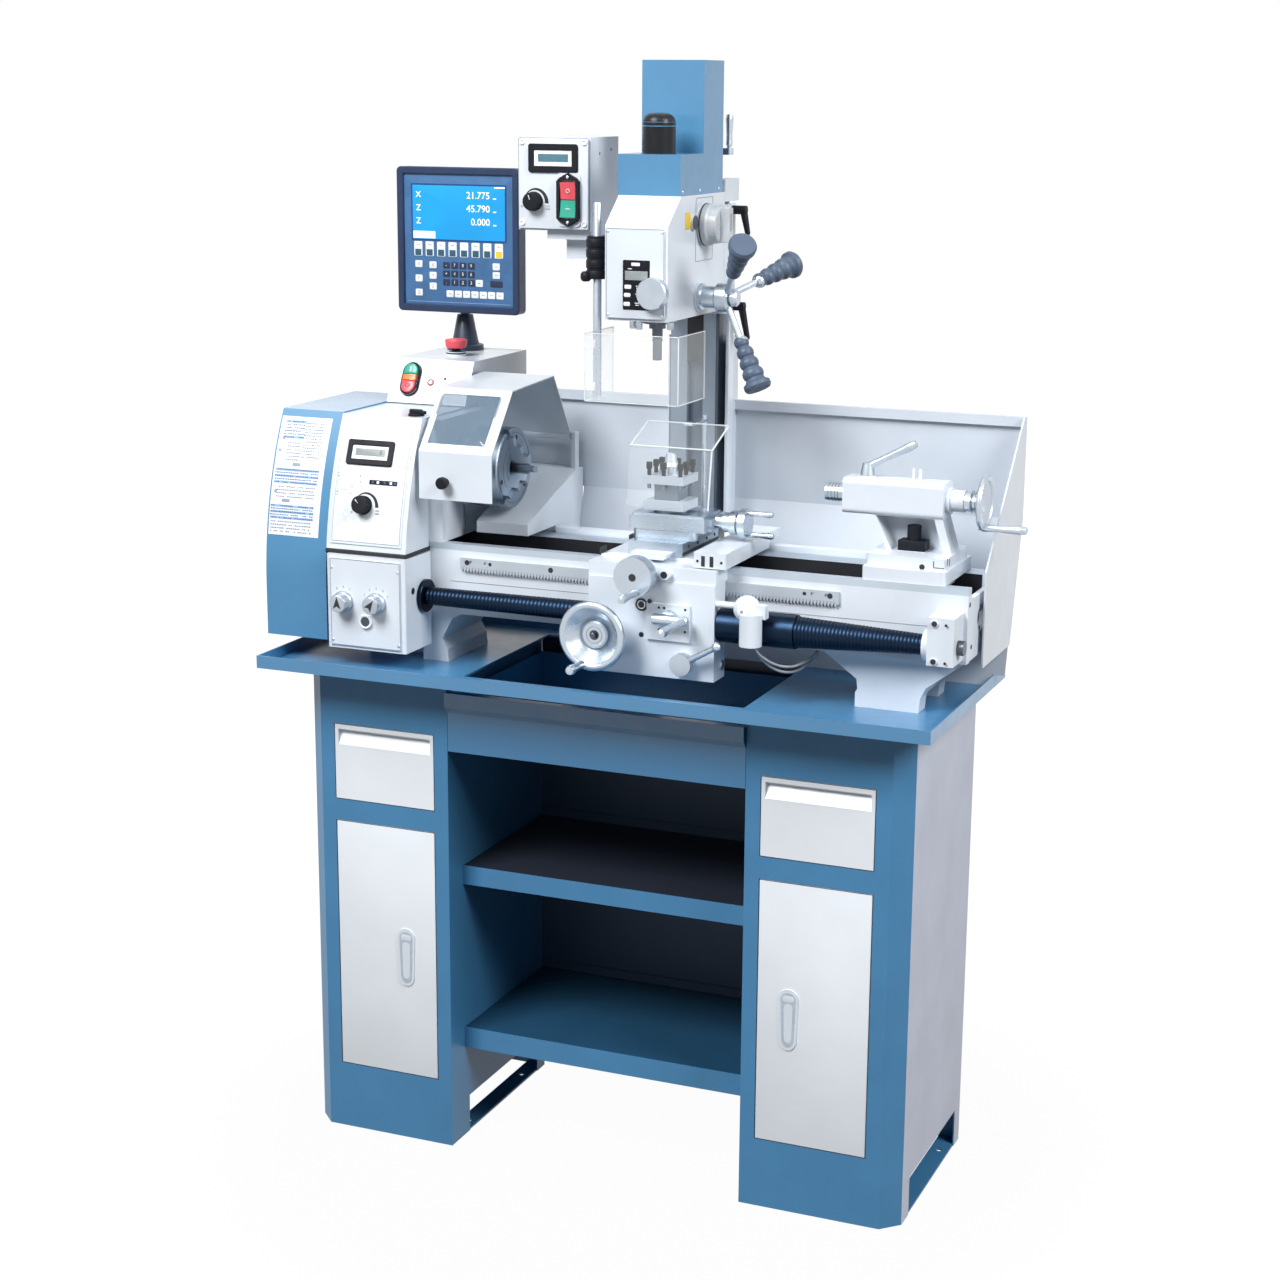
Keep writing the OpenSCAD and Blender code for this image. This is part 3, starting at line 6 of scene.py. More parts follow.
import bmesh
import bpy
import numpy as np
from bpy.props import FloatProperty, FloatVectorProperty, PointerProperty
from mathutils import Matrix, Vector


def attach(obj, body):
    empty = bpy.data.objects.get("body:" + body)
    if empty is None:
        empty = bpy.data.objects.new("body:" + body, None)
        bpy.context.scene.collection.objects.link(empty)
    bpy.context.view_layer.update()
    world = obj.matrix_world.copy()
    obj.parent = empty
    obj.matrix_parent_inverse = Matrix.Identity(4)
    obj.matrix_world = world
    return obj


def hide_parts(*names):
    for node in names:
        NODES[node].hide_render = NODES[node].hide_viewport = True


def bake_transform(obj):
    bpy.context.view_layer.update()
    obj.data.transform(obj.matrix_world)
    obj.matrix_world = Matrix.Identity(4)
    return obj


bl_info = {
    "name": "Combination lathe mill",
    "version": (1, 0, 0),
    "blender": (4, 5, 0),
    "location": "View3D > Sidebar > Lathe mill",
    "description": "Finishes and detail pieces of a combination lathe mill on its stand",
    "category": "Object",
}

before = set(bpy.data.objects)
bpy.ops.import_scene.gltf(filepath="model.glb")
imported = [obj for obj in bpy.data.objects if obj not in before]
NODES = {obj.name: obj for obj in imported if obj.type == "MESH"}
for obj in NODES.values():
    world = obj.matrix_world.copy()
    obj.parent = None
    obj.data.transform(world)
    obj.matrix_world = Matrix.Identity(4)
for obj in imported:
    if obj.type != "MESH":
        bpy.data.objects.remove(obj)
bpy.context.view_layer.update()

# ---- machine datums, in millimetres: X along the bed, Y to the back, Z up ----
MIDDLE = np.array([35.65, -2.65, 0.0])
LATHE_Y, SPIN_Z = -28.0, 1304.0
SCREW_Y, SCREW_Z = -150, 1073
MILL_X, MILL_Y = 56, -50
HEAD_FRONT_Y, LEAN_RADIUS, LEAN_FOOT_Z = -215.0, 703.0, 1080.0
PANEL_FOOT, PANEL_HEAD = (30.0, 1404.0), (72.0, 1485.0)
DOOR_MIDDLE, DOOR_FRONT_Y = 429.25, -206
CABLE_ROUTE = [
    (306, -203, 1052.5), (306, -203, 1049), (309, -201, 1043), (314, -197, 1036),
    (321, -193, 1030), (328, -188, 1024), (336, -182, 1019), (344, -175, 1015),
    (352, -168, 1013), (360, -160, 1012), (367, -151, 1013), (374, -142, 1016),
    (380, -133, 1019), (385, -124, 1023), (389, -116, 1028), (391, -112, 1034.6),
]

# ---- studio: degrees, and machine millimetres for the camera's place ----
CAMERA_PLACE = (1647.8, -3940.9, 2003.0)
YAW, PITCH, ROLL = 22.624, -13.333, 0.386
LENS_MM, SENSOR_MM = 65.98, 36
FLOOR_HALF = 14


def linear(code):
    """An sRGB hex code as linear light, by the sRGB curve."""
    value = [int(code[i:i + 2], 16) / 255 for i in (0, 2, 4)]
    return [v / 12.92 if v <= 0.04045 else ((v + 0.055) / 1.055) ** 2.4 for v in value]



# ---------------------------------------------------------------- materials

def node(tree, kind, settings=(), links=()):
    """Adds a shader node, sets its properties and sockets, and links other nodes' outputs to it."""
    made = tree.nodes.new("ShaderNode" + kind)
    for key, value in dict(settings).items():
        if isinstance(key, str) and hasattr(made, key):
            setattr(made, key, value)
        else:
            made.inputs[key].default_value = value
    for key, output in dict(links).items():
        tree.links.new(output, made.inputs[key])
    return made


def new_material(name, **shader):
    """A material with a Principled shader, its tree and the shader's Object coordinates."""
    material = bpy.data.materials.new(name)
    material.use_nodes = True
    tree = material.node_tree
    tree.nodes.clear()
    skin = node(tree, "BsdfPrincipled", {key.replace("_", " "): v for key, v in shader.items()})
    node(tree, "OutputMaterial", links={"Surface": skin.outputs[0]})
    where = node(tree, "TexCoord").outputs["Object"]
    return material, tree, skin, where


def grain(tree, where, per_metre, detail=3.0, rough=0.5, stretch=(1, 1, 1)):
    """Noise with a given number of grains per metre, stretched along some axes."""
    space = node(tree, "Mapping", {"Scale": stretch}, {"Vector": where})
    return node(tree, "TexNoise", {"Scale": per_metre, "Detail": detail, "Roughness": rough},
                {"Vector": space.outputs[0]}).outputs[0]


def ranged(tree, value, low, high, start=0.3, end=0.7):
    """The value remapped from start..end to low..high."""
    return node(tree, "MapRange", {"From Min": start, "From Max": end, "To Min": low, "To Max": high},
                {"Value": value}).outputs[0]


def shade(colour):
    """Linear light of a hex code, or of one of the scene's own paints by its name."""
    paints = bpy.context.scene.lathe_mill_paint
    return list(getattr(paints, colour)) if hasattr(paints, colour) else linear(colour)


def toned(tree, value, colour, dark, light):
    """The colour between a darker and a lighter shade of itself."""
    ends = node(tree, "ValToRGB", links={"Fac": value})
    for stop, factor in zip(ends.color_ramp.elements, (dark, light)):
        stop.color = [min(1, c * factor ** 2.2) for c in shade(colour)] + [1]
    return ends.outputs[0]


def relief(tree, skin, height, depth_mm, strength=0.3):
    """Bump of a real depth under a shader's normal."""
    bump = node(tree, "Bump", {"Strength": strength, "Distance": depth_mm / 1000}, {"Height": height})
    tree.links.new(bump.outputs[0], skin.inputs["Normal"])


def mixed_by(tree, share, first, second, kind="RGBA"):
    """A mix node between two outputs, or plain numbers, by a share from nought to one."""
    made = node(tree, "Mix", {"data_type": kind}, {0: share})
    ends = (6, 7) if kind == "RGBA" else (2, 3)
    for end, value in zip(ends, (first, second)):
        if value is None or isinstance(value, (int, float)):
            made.inputs[end].default_value = value or 0.0
        else:
            tree.links.new(value, made.inputs[end])
    return made.outputs[2 if kind == "RGBA" else 0]


def textured_enamel(name, colour, roughness=0.36, peel_mm=1.6):
    """Sprayed machine enamel: an even colour with the soft ripple of orange peel and faint cloudiness."""
    material, tree, skin, where = new_material(name, Roughness=roughness, Coat_Weight=0.5, Coat_Roughness=0.2)
    cloud = grain(tree, where, 7, 4)
    tree.links.new(toned(tree, ranged(tree, cloud, 0, 1), colour, 0.972, 1.018),
                   skin.inputs["Base Color"])
    tree.links.new(ranged(tree, grain(tree, where, 40), roughness - 0.05, roughness + 0.07),
                   skin.inputs["Roughness"])
    relief(tree, skin, grain(tree, where, 1000 / peel_mm, 2), 0.05, 0.22)
    return material


def powder_coat(name, colour, roughness=0.42):
    """Powder coated sheet steel: slightly pebbled, a touch glossier where hands polish it."""
    material, tree, skin, where = new_material(name, Roughness=roughness, Coat_Weight=0.7,
                                               Coat_Roughness=0.26, Coat_IOR=1.65)
    cloud = grain(tree, where, 4, 5)
    tree.links.new(toned(tree, ranged(tree, cloud, 0, 1), colour, 0.965, 1.02),
                   skin.inputs["Base Color"])
    tree.links.new(ranged(tree, grain(tree, where, 25), roughness - 0.06, roughness + 0.08),
                   skin.inputs["Roughness"])
    relief(tree, skin, grain(tree, where, 900, 2), 0.06, 0.28)
    return material


def ground_steel(name, colour, along="x", roughness=0.27, scratch=0.35):
    """Surface-ground steel or iron: fine parallel grinding marks along one axis."""
    stretch = {"x": (1, 40, 40), "y": (40, 1, 40), "z": (40, 40, 1)}[along]
    material, tree, skin, where = new_material(name, Metallic=1.0, Roughness=roughness)
    marks = grain(tree, where, 28, 4, 0.65, stretch)
    cloud = grain(tree, where, 9, 3)
    tree.links.new(toned(tree, ranged(tree, cloud, 0, 1), colour, 0.9, 1.04),
                   skin.inputs["Base Color"])
    tree.links.new(ranged(tree, marks, roughness - 0.07, roughness + 0.12), skin.inputs["Roughness"])
    relief(tree, skin, marks, 0.02, scratch)
    return material


def turned_steel(name, colour, centre, axis, roughness=0.2):
    """Lathe-turned bright steel: concentric tool marks round the piece's own axis."""
    material, tree, skin, where = new_material(name, Metallic=1.0, Roughness=roughness)
    point = (np.array(centre) - MIDDLE) / 1000
    local = node(tree, "VectorMath", {"operation": "SUBTRACT", 1: tuple(point)}, {0: where}).outputs[0]
    mask = {"x": (0, 1, 1), "y": (1, 0, 1), "z": (1, 1, 0)}[axis]
    flat = node(tree, "VectorMath", {"operation": "MULTIPLY", 1: mask}, {0: local}).outputs[0]
    radius = node(tree, "VectorMath", {"operation": "LENGTH"}, {0: flat}).outputs["Value"]
    rings = node(tree, "TexNoise", {"noise_dimensions": "1D", "Scale": 1400, "Detail": 3},
                 {"W": radius}).outputs[0]
    tree.links.new(toned(tree, ranged(tree, grain(tree, where, 14), 0, 1), colour, 0.92, 1.03),
                   skin.inputs["Base Color"])
    tree.links.new(ranged(tree, rings, roughness - 0.05, roughness + 0.1), skin.inputs["Roughness"])
    relief(tree, skin, rings, 0.015, 0.3)
    return material


def bright_chrome(name, colour, roughness=0.1):
    """Polished chrome plate with slight waviness and the odd duller patch."""
    material, tree, skin, where = new_material(name, Metallic=1.0, Roughness=roughness)
    skin.inputs["Base Color"].default_value = shade(colour) + [1]
    tree.links.new(ranged(tree, grain(tree, where, 60), roughness - 0.03, roughness + 0.08),
                   skin.inputs["Roughness"])
    relief(tree, skin, grain(tree, where, 90, 1), 0.03, 0.08)
    return material


def moulded_plastic(name, colour, roughness=0.42, ior=1.5, grain_mm=0.9):
    """Injection-moulded plastic with the fine spark-eroded grain of its mould."""
    material, tree, skin, where = new_material(name, Roughness=roughness, IOR=ior)
    tree.links.new(toned(tree, ranged(tree, grain(tree, where, 30), 0, 1), colour, 0.93, 1.05),
                   skin.inputs["Base Color"])
    tree.links.new(ranged(tree, grain(tree, where, 70), roughness - 0.06, roughness + 0.08),
                   skin.inputs["Roughness"])
    relief(tree, skin, grain(tree, where, 1000 / grain_mm, 2), 0.04, 0.25)
    return material


def clear_acrylic(name, colour, roughness=0.05, alpha=0.13):
    """Cast acrylic sheet, clear with a faint cool tint and fine wiping marks."""
    material, tree, skin, where = new_material(name, Roughness=roughness, IOR=1.49, Alpha=alpha)
    skin.inputs["Base Color"].default_value = shade(colour) + [1]
    tree.links.new(ranged(tree, grain(tree, where, 35, 4), roughness - 0.02, roughness + 0.05),
                   skin.inputs["Roughness"])
    return material


def printed(name, colour, roughness=0.5):
    """Screen-printed ink or film: flat, even and slightly satin."""
    material, tree, skin, where = new_material(name, Roughness=roughness)
    tree.links.new(toned(tree, ranged(tree, grain(tree, where, 120), 0, 1), colour, 0.96, 1.03),
                   skin.inputs["Base Color"])
    return material


def lit_screen(name, colour, glow=0.6):
    """A liquid crystal screen with its own light behind it."""
    material, tree, skin, where = new_material(name, Roughness=0.3, Coat_Weight=0.15, Coat_Roughness=0.05)
    drift = ranged(tree, grain(tree, where, 10, 1), 0, 1)
    colour = toned(tree, drift, colour, 0.97, 1.03)
    tree.links.new(colour, skin.inputs["Base Color"])
    tree.links.new(colour, skin.inputs["Emission Color"])
    skin.inputs["Emission Strength"].default_value = glow
    return material


def zoned(name, base, zones, roughness_spread=0.06):
    """One piece in several colours, some finishes and some painted shade and highlights: a base and, inside
    boxes given in machine millimetres, others.

    A point is in a box when the largest of |p - centre| / half size over the three axes is under one."""
    material, tree, skin, where = new_material(name)
    cloud = ranged(tree, grain(tree, where, 9, 4), 0, 1)
    marks = grain(tree, where, 28, 4, 0.65, (1, 40, 40))
    colour = toned(tree, cloud, base[0], 0.965, 1.02)
    metal, rough = None, ranged(tree, marks, base[2] - roughness_spread / 2, base[2] + roughness_spread)
    for (x, y, z), (tint, metallic, roughness) in zones:
        low, high = (np.array([c[k] for c in (x, y, z)], float) for k in (0, 1))
        centre, half = ((low + high) / 2 - MIDDLE) / 1000, (high - low) / 2000
        local = node(tree, "VectorMath", {"operation": "SUBTRACT", 1: tuple(centre)}, {0: where}).outputs[0]
        size = node(tree, "VectorMath", {"operation": "DIVIDE", 1: tuple(half)}, {0: local}).outputs[0]
        size = node(tree, "VectorMath", {"operation": "ABSOLUTE"}, {0: size}).outputs[0]
        parts = node(tree, "SeparateXYZ", links={"Vector": size}).outputs
        widest = node(tree, "Math", {"operation": "MAXIMUM"}, {0: parts[0], 1: parts[1]}).outputs[0]
        widest = node(tree, "Math", {"operation": "MAXIMUM"}, {0: widest, 1: parts[2]}).outputs[0]
        inside = node(tree, "Math", {"operation": "LESS_THAN", 1: 1.0}, {0: widest}).outputs[0]
        colour = mixed_by(tree, inside, colour, toned(tree, cloud, tint, 0.965, 1.02))
        rough = mixed_by(tree, inside, rough, ranged(tree, marks, roughness - 0.06, roughness + 0.1), "FLOAT")
        metal = mixed_by(tree, inside, metal, metallic, "FLOAT")
    tree.links.new(colour, skin.inputs["Base Color"])
    tree.links.new(rough, skin.inputs["Roughness"])
    tree.links.new(metal, skin.inputs["Metallic"])
    return material


def far_from_axis(name, centre, reach, near, beyond):
    """The capstan, which turns about X: bright steel near its axis, and the grips' rubber beyond a reach."""
    material, tree, skin, where = new_material(name)
    point = (np.array(centre, float) - MIDDLE) / 1000
    local = node(tree, "VectorMath", {"operation": "SUBTRACT", 1: tuple(point)}, {0: where}).outputs[0]
    flat = node(tree, "VectorMath", {"operation": "MULTIPLY", 1: (0, 1, 1)}, {0: local}).outputs[0]
    away = node(tree, "VectorMath", {"operation": "LENGTH"}, {0: flat}).outputs["Value"]
    far = node(tree, "Math", {"operation": "GREATER_THAN", 1: reach / 1000}, {0: away}).outputs[0]
    cloud = ranged(tree, grain(tree, where, 30, 3), 0, 1)
    tree.links.new(mixed_by(tree, far, toned(tree, cloud, near[0], 0.95, 1.03),
                            toned(tree, cloud, beyond[0], 0.92, 1.06)), skin.inputs["Base Color"])
    tree.links.new(mixed_by(tree, far, near[1], beyond[1], "FLOAT"), skin.inputs["Metallic"])
    tree.links.new(mixed_by(tree, far, near[2], beyond[2], "FLOAT"), skin.inputs["Roughness"])
    return material


# ---------------------------------------------------------------- shapes

def place(points):
    """Machine millimetres to frame metres."""
    return (np.asarray(points, float) - MIDDLE) / 1000


def axes(origin, right, up):
    """A local frame: its origin, and unit right, up and outward axes as rows."""
    right = np.array(right, float) / np.linalg.norm(right)
    up = np.array(up, float) - right * np.dot(up, right)
    up /= np.linalg.norm(up)
    return np.array(origin, float), np.stack([right, up, np.cross(right, up)])


def into(local, spot):
    """Local points on a frame's right, up and outward axes, as machine points."""
    origin, rows = spot
    return origin + np.asarray(local, float) @ rows


def into_frame(spot, shift):
    """The same frame moved along its own right, up and outward axes."""
    origin, rows = spot
    return origin + np.array(shift, float) @ rows, rows


def spun(spot, degrees):
    """The same frame turned about its outward axis."""
    origin, rows = spot
    a = math.radians(degrees)
    return origin, np.stack([rows[0] * math.cos(a) + rows[1] * math.sin(a),
                             rows[1] * math.cos(a) - rows[0] * math.sin(a), rows[2]])


def front(x, y, z):
    """A frame on a face that looks to the front: right is +X, up is +Z, out is -Y."""
    return axes((x, y, z), (1, 0, 0), (0, 0, 1))


def side(x, y, z):
    """A frame on a face that looks to the right: right is +Y, up is +Z, out is +X."""
    return axes((x, y, z), (0, 1, 0), (0, 0, 1))


def rear(x, y, z):
    """A frame on a face that looks to the back: right is -X, up is +Z, out is +Y."""
    return axes((x, y, z), (-1, 0, 0), (0, 0, 1))


def top(x, y, z):
    """A frame on a face that looks up: right is +X, up is +Y, out is +Z."""
    return axes((x, y, z), (1, 0, 0), (0, 1, 0))


def on_spindle(x):
    """A frame on the lathe's spindle line that looks to the right."""
    return side(x, LATHE_Y, SPIN_Z)


def leaning(x, z, proud=0.0):
    """A frame on the swept front of the headstock, at a height, standing a little proud."""
    tilt = math.asin(max(z - LEAN_FOOT_Z, 0) / LEAN_RADIUS)
    y = HEAD_FRONT_Y + LEAN_RADIUS - math.sqrt(LEAN_RADIUS ** 2 - max(z - LEAN_FOOT_Z, 0) ** 2)
    out = np.array([0, -math.cos(tilt), math.sin(tilt)])
    return axes(np.array([x, y, z]) + out * proud, (1, 0, 0), (0, math.sin(tilt), math.cos(tilt)))


def sloped(x, up, proud=0.0):
    """A frame on the sloped switch panel, a distance up its slope."""
    run = np.array([0, PANEL_HEAD[0] - PANEL_FOOT[0], PANEL_HEAD[1] - PANEL_FOOT[1]], float)
    run /= np.linalg.norm(run)
    out = np.array([0, -run[2], run[1]])
    return axes(np.array([x, PANEL_FOOT[0], PANEL_FOOT[1]]) + run * up + out * proud, (1, 0, 0), run)


def sheet_of(grid, wrap=False, caps=(True, True)):
    """Quads over a grid of points (rows, columns, 3). wrap joins the last column to the first,
    and each cap closes an end row with a fan to its middle."""
    rows, columns = grid.shape[:2]
    index = np.arange(rows * columns).reshape(rows, columns)
    across = np.roll(index, -1, 1) if wrap else index[:, 1:]
    start = index if wrap else index[:, :-1]
    quads = np.stack([start[:-1], across[:-1], across[1:], start[1:]], -1).reshape(-1, 4)
    points, fans = [grid.reshape(-1, 3)], []
    for flag, row, turn in ((caps[0], 0, -1), (caps[1], rows - 1, 1)):
        if wrap and flag:
            hub = sum(len(p) for p in points)
            points.append(grid[row].mean(0)[None])
            ring = index[row]
            pair = np.stack([ring, np.roll(ring, -1), np.full(columns, hub)], -1)
            fans.append(pair[:, ::turn])
    return np.concatenate(points), [quads] + fans


def turned(profile, spot, steps=48):
    """A profile of (radius, height) carried round a frame's outward axis: x = r cos t, y = r sin t, z = h."""
    profile = np.array(profile, float)
    angle = np.linspace(0, 2 * np.pi, steps, endpoint=False)
    r, h = profile[:, 0][:, None], profile[:, 1][:, None]
    local = np.stack([r * np.cos(angle), r * np.sin(angle), h + 0 * angle], -1)
    grid = into(local, spot)
    return sheet_of(grid, True, (profile[0, 0] > 1e-6, profile[-1, 0] > 1e-6))


def ring(radius, tube, spot, height=0.0, steps=64, sides=16):
    """A torus: a circle of the tube's radius carried round a circle."""
    turn = np.linspace(0, 2 * np.pi, sides, endpoint=False)
    profile = np.stack([radius + tube * np.cos(turn), height + tube * np.sin(turn)], -1)
    angle = np.linspace(0, 2 * np.pi, steps, endpoint=False)
    local = np.stack([profile[:, 0][:, None] * np.cos(angle), profile[:, 0][:, None] * np.sin(angle),
                      profile[:, 1][:, None] + 0 * angle], -1)
    index = np.arange(sides * steps).reshape(sides, steps)
    quads = np.stack([index, np.roll(index, -1, 1), np.roll(np.roll(index, -1, 0), -1, 1),
                      np.roll(index, -1, 0)], -1).reshape(-1, 4)
    return into(local, spot).reshape(-1, 3), [quads]


def rounded_outline(width, height, radius, steps=8):
    """Points round a rectangle with circular corners, anticlockwise."""
    radius = max(min(radius, width / 2, height / 2), 0.01)
    quarter = np.linspace(0, np.pi / 2, steps)
    corner = np.stack([np.cos(quarter), np.sin(quarter)], -1) * radius
    middle = np.array([width / 2 - radius, height / 2 - radius])
    turns = [np.array([[1, 0], [0, 1]]), np.array([[0, -1], [1, 0]]),
             np.array([[-1, 0], [0, -1]]), np.array([[0, 1], [-1, 0]])]
    signs = ((1, 1), (-1, 1), (-1, -1), (1, -1))
    return np.concatenate([corner @ t.T + middle * s for t, s in zip(turns, signs)])


def tapered(width, height, radius, narrowing, steps):
    """A rounded outline that narrows below its middle, by a share of its width at the foot."""
    outline = rounded_outline(width, height, radius, steps)
    outline[:, 0] *= 1 - narrowing * np.clip(-outline[:, 1] / (height / 2), 0, 1)
    return outline


def slab(width, height, thick, spot, radius=2.0, edge=0.6, steps=8, base=0.0, offset=(0, 0)):
    """A rounded rectangle raised from a frame, its top edge rolled over a quarter circle."""
    edge = min(edge, thick, radius + 0.5)
    roll = np.linspace(0, np.pi / 2, 5)
    inset = np.concatenate([[0], edge * (1 - np.cos(roll))])
    rise = np.concatenate([[base], base + thick - edge + edge * np.sin(roll)])
    rows = [np.column_stack([rounded_outline(width - 2 * i, height - 2 * i, radius - i, steps) + offset,
                             np.full(4 * steps, z)]) for i, z in zip(inset, rise)]
    return sheet_of(into(np.array(rows), spot), True)


def turned_box(spot, width, height, thick, base, shift, degrees):
    """A small bar on a frame, turned about the frame's origin."""
    return slab(width, height, thick, into_frame(spun(spot, degrees), (shift[0], shift[1], base)), 0.4, 0.1)


def frame_of(width, height, wide, thick, spot, radius=3.0, edge=0.5, base=0.0, offset=(0, 0)):
    """A picture frame: a rounded rectangle with a rounded opening, one closed ring of faces."""
    inner_r = max(radius - wide, 0.5)
    rows = []
    for inset, z in ((0, base), (0, base + thick - edge), (edge, base + thick), (wide - edge, base + thick),
                     (wide, base + thick - edge), (wide, base)):
        t = inset / wide
        outline = rounded_outline(width - 2 * inset, height - 2 * inset, radius * (1 - t) + inner_r * t)
        rows.append(np.column_stack([outline + offset, np.full(len(outline), z)]))
    grid = into(np.array(rows + rows[:1]), spot)
    return sheet_of(grid, True, (False, False))


def box(x, y, z, edge=0.8):
    """A block between two corners with rounded edges: a sphere's octants moved to the eight corners."""
    lo, hi = np.array([x[0], y[0], z[0]], float), np.array([x[1], y[1], z[1]], float)
    edge = min(edge, *((hi - lo) / 2 - 1e-3))
    bend = np.linspace(0, np.pi / 2, 4)
    turn = np.concatenate([bend + k * np.pi / 2 for k in range(4)])
    lift = np.concatenate([bend - np.pi / 2, bend])
    sx = np.repeat([1, -1, -1, 1], 4)
    sy = np.repeat([1, 1, -1, -1], 4)
    sz = np.repeat([-1, 1], 4)
    normal = np.stack([np.cos(lift)[:, None] * np.cos(turn), np.cos(lift)[:, None] * np.sin(turn),
                       np.sin(lift)[:, None] + 0 * turn], -1)
    sign = np.stack([sx + 0 * sz[:, None], sy + 0 * sz[:, None], 0 * sx + sz[:, None]], -1)
    grid = (lo + hi) / 2 + sign * ((hi - lo) / 2 - edge) + normal * edge
    return sheet_of(grid, True)


def curve_through(path, parts):
    """A Catmull-Rom curve through the points, each span cut into parts."""
    ends = np.concatenate([[2 * path[0] - path[1]], path, [2 * path[-1] - path[-2]]])
    t = np.linspace(0, 1, parts, endpoint=False)[:, None, None]
    a, b, c, d = ends[:-3], ends[1:-2], ends[2:-1], ends[3:]
    spans = 0.5 * (2 * b + (c - a) * t + (2 * a - 5 * b + 4 * c - d) * t ** 2
                   + (3 * b - a - 3 * c + d) * t ** 3)
    return np.concatenate([spans.transpose(1, 0, 2).reshape(-1, 3), path[-1:]])


def swept(path, radius, sides=12, smooth=4):
    """A tube along a path. Each ring stands across the path, turned the least from the ring before."""
    path = np.array(path, float)
    if smooth > 1:
        path = curve_through(path, smooth)
    ahead = np.gradient(path, axis=0)
    ahead /= np.linalg.norm(ahead, axis=1)[:, None]
    across = np.cross(ahead[0], [0.31, 0.95, 0.11])
    rows = []
    turn = np.linspace(0, 2 * np.pi, sides, endpoint=False)
    for point, way in zip(path, ahead):
        across = across - way * np.dot(across, way)
        across /= np.linalg.norm(across)
        other = np.cross(way, across)
        rows.append(point + radius * (np.cos(turn)[:, None] * across + np.sin(turn)[:, None] * other))
    return sheet_of(np.array(rows), True)


def prism(outline, spot, low, high):
    """A flat outline, convex from its middle, raised between two heights on a frame."""
    outline = np.asarray(outline, float)
    rows = [np.column_stack([outline, np.full(len(outline), z)]) for z in (low, high)]
    return sheet_of(into(np.array(rows), spot), True)


def hexagon(across, height, spot, base=0.0, lip=0.6):
    """A hexagon head with its corners turned off by a chamfer."""
    angle = np.arange(6) * np.pi / 3
    out = across / math.sqrt(3)
    rows = [np.column_stack([r * np.cos(angle), r * np.sin(angle), np.full(6, z)])
            for r, z in ((out, base), (out, base + height - lip), (out - lip, base + height))]
    return sheet_of(into(np.array(rows), spot), True)


def cap_screw(spot, radius=4.0, height=3.0, hollow=0.55):
    """A socket screw head: a turned cup with a hexagon-deep dark well."""
    r, h = radius, height
    return turned([(0, 0), (r, 0), (r, h - 0.6), (r - 0.6, h), (r * hollow, h), (r * hollow, h * 0.35),
                   (0, h * 0.35)], spot, 24)


def dome_screw(spot, radius=3.0, height=1.2):
    """A pan head: a low dome."""
    bow = np.linspace(0, np.pi / 2, 6)
    return turned([(radius * math.cos(a), height * math.sin(a)) for a in bow], spot, 20)


def disc(spot, radius, rise=0.6, rim=0.5, steps=28):
    """A low round boss, screw head or socket with a bevelled rim."""
    return turned([(0, rise), (radius - rim, rise), (radius, 0), (0, -0.2)], spot, steps)


def knurled(radius, height, spot, teeth=40, depth=0.5, base=0.0, dome=1.5):
    """A knob with fine flutes: its radius ripples as r + d cos(n t), and the top edge rolls over."""
    angle = np.linspace(0, 2 * np.pi, teeth * 4, endpoint=False)
    roll = np.linspace(0, np.pi / 2, 5)
    profile = [(radius, base, 1), (radius, base + height - dome, 1)]
    profile += [(radius - dome * (1 - math.cos(a)), base + height - dome + dome * math.sin(a), math.cos(a))
                for a in roll[1:]]
    profile += [(radius * 0.5, base + height, 0)]
    rows = [np.stack([(r + share * depth * np.cos(teeth * angle)) * np.cos(angle),
                      (r + share * depth * np.cos(teeth * angle)) * np.sin(angle), h + 0 * angle], -1)
            for r, h, share in profile]
    return sheet_of(into(np.array(rows), spot), True)


def wedge_arc(spot, start_radii, end_radii, start, end, thick=0.25, steps=40):
    """A band round an arc whose inner and outer radii both grow along its length."""
    angle = np.radians(np.linspace(start, end, steps))
    near = np.linspace(start_radii[0], end_radii[0], steps)
    far = np.linspace(start_radii[1], end_radii[1], steps)
    around = np.stack([np.cos(angle), np.sin(angle)], -1)
    section = [(near, 0), (far, 0), (far, thick), (near, thick)]
    rows = np.stack([np.column_stack([around * r[:, None], np.full(steps, float(h))]) for r, h in section], 1)
    return sheet_of(into(rows, spot), True)


def lean_at(height):
    """Tilt and front Y of the headstock's swept front at some heights: an arc, upright at its foot."""
    tilt = np.arcsin(np.clip(height - LEAN_FOOT_Z, 0, None) / LEAN_RADIUS)
    return tilt, HEAD_FRONT_Y + LEAN_RADIUS - LEAN_RADIUS * np.cos(tilt)


def on_lean(x, z, base, thick, rows=None):
    """A thin plate that follows the swept front: each row of four corners stands on the arc."""
    rows = rows or max(2, int((z[1] - z[0]) / 8) + 2)
    height = np.linspace(z[0], z[1], rows)
    tilt, depth = lean_at(height)
    corners = []
    for across, proud in ((x[0], base), (x[1], base), (x[1], base + thick), (x[0], base + thick)):
        corners.append(np.stack([np.full(rows, float(across)), depth - np.cos(tilt) * proud,
                                 height + np.sin(tilt) * proud], -1))
    return sheet_of(np.stack(corners, 1), True)


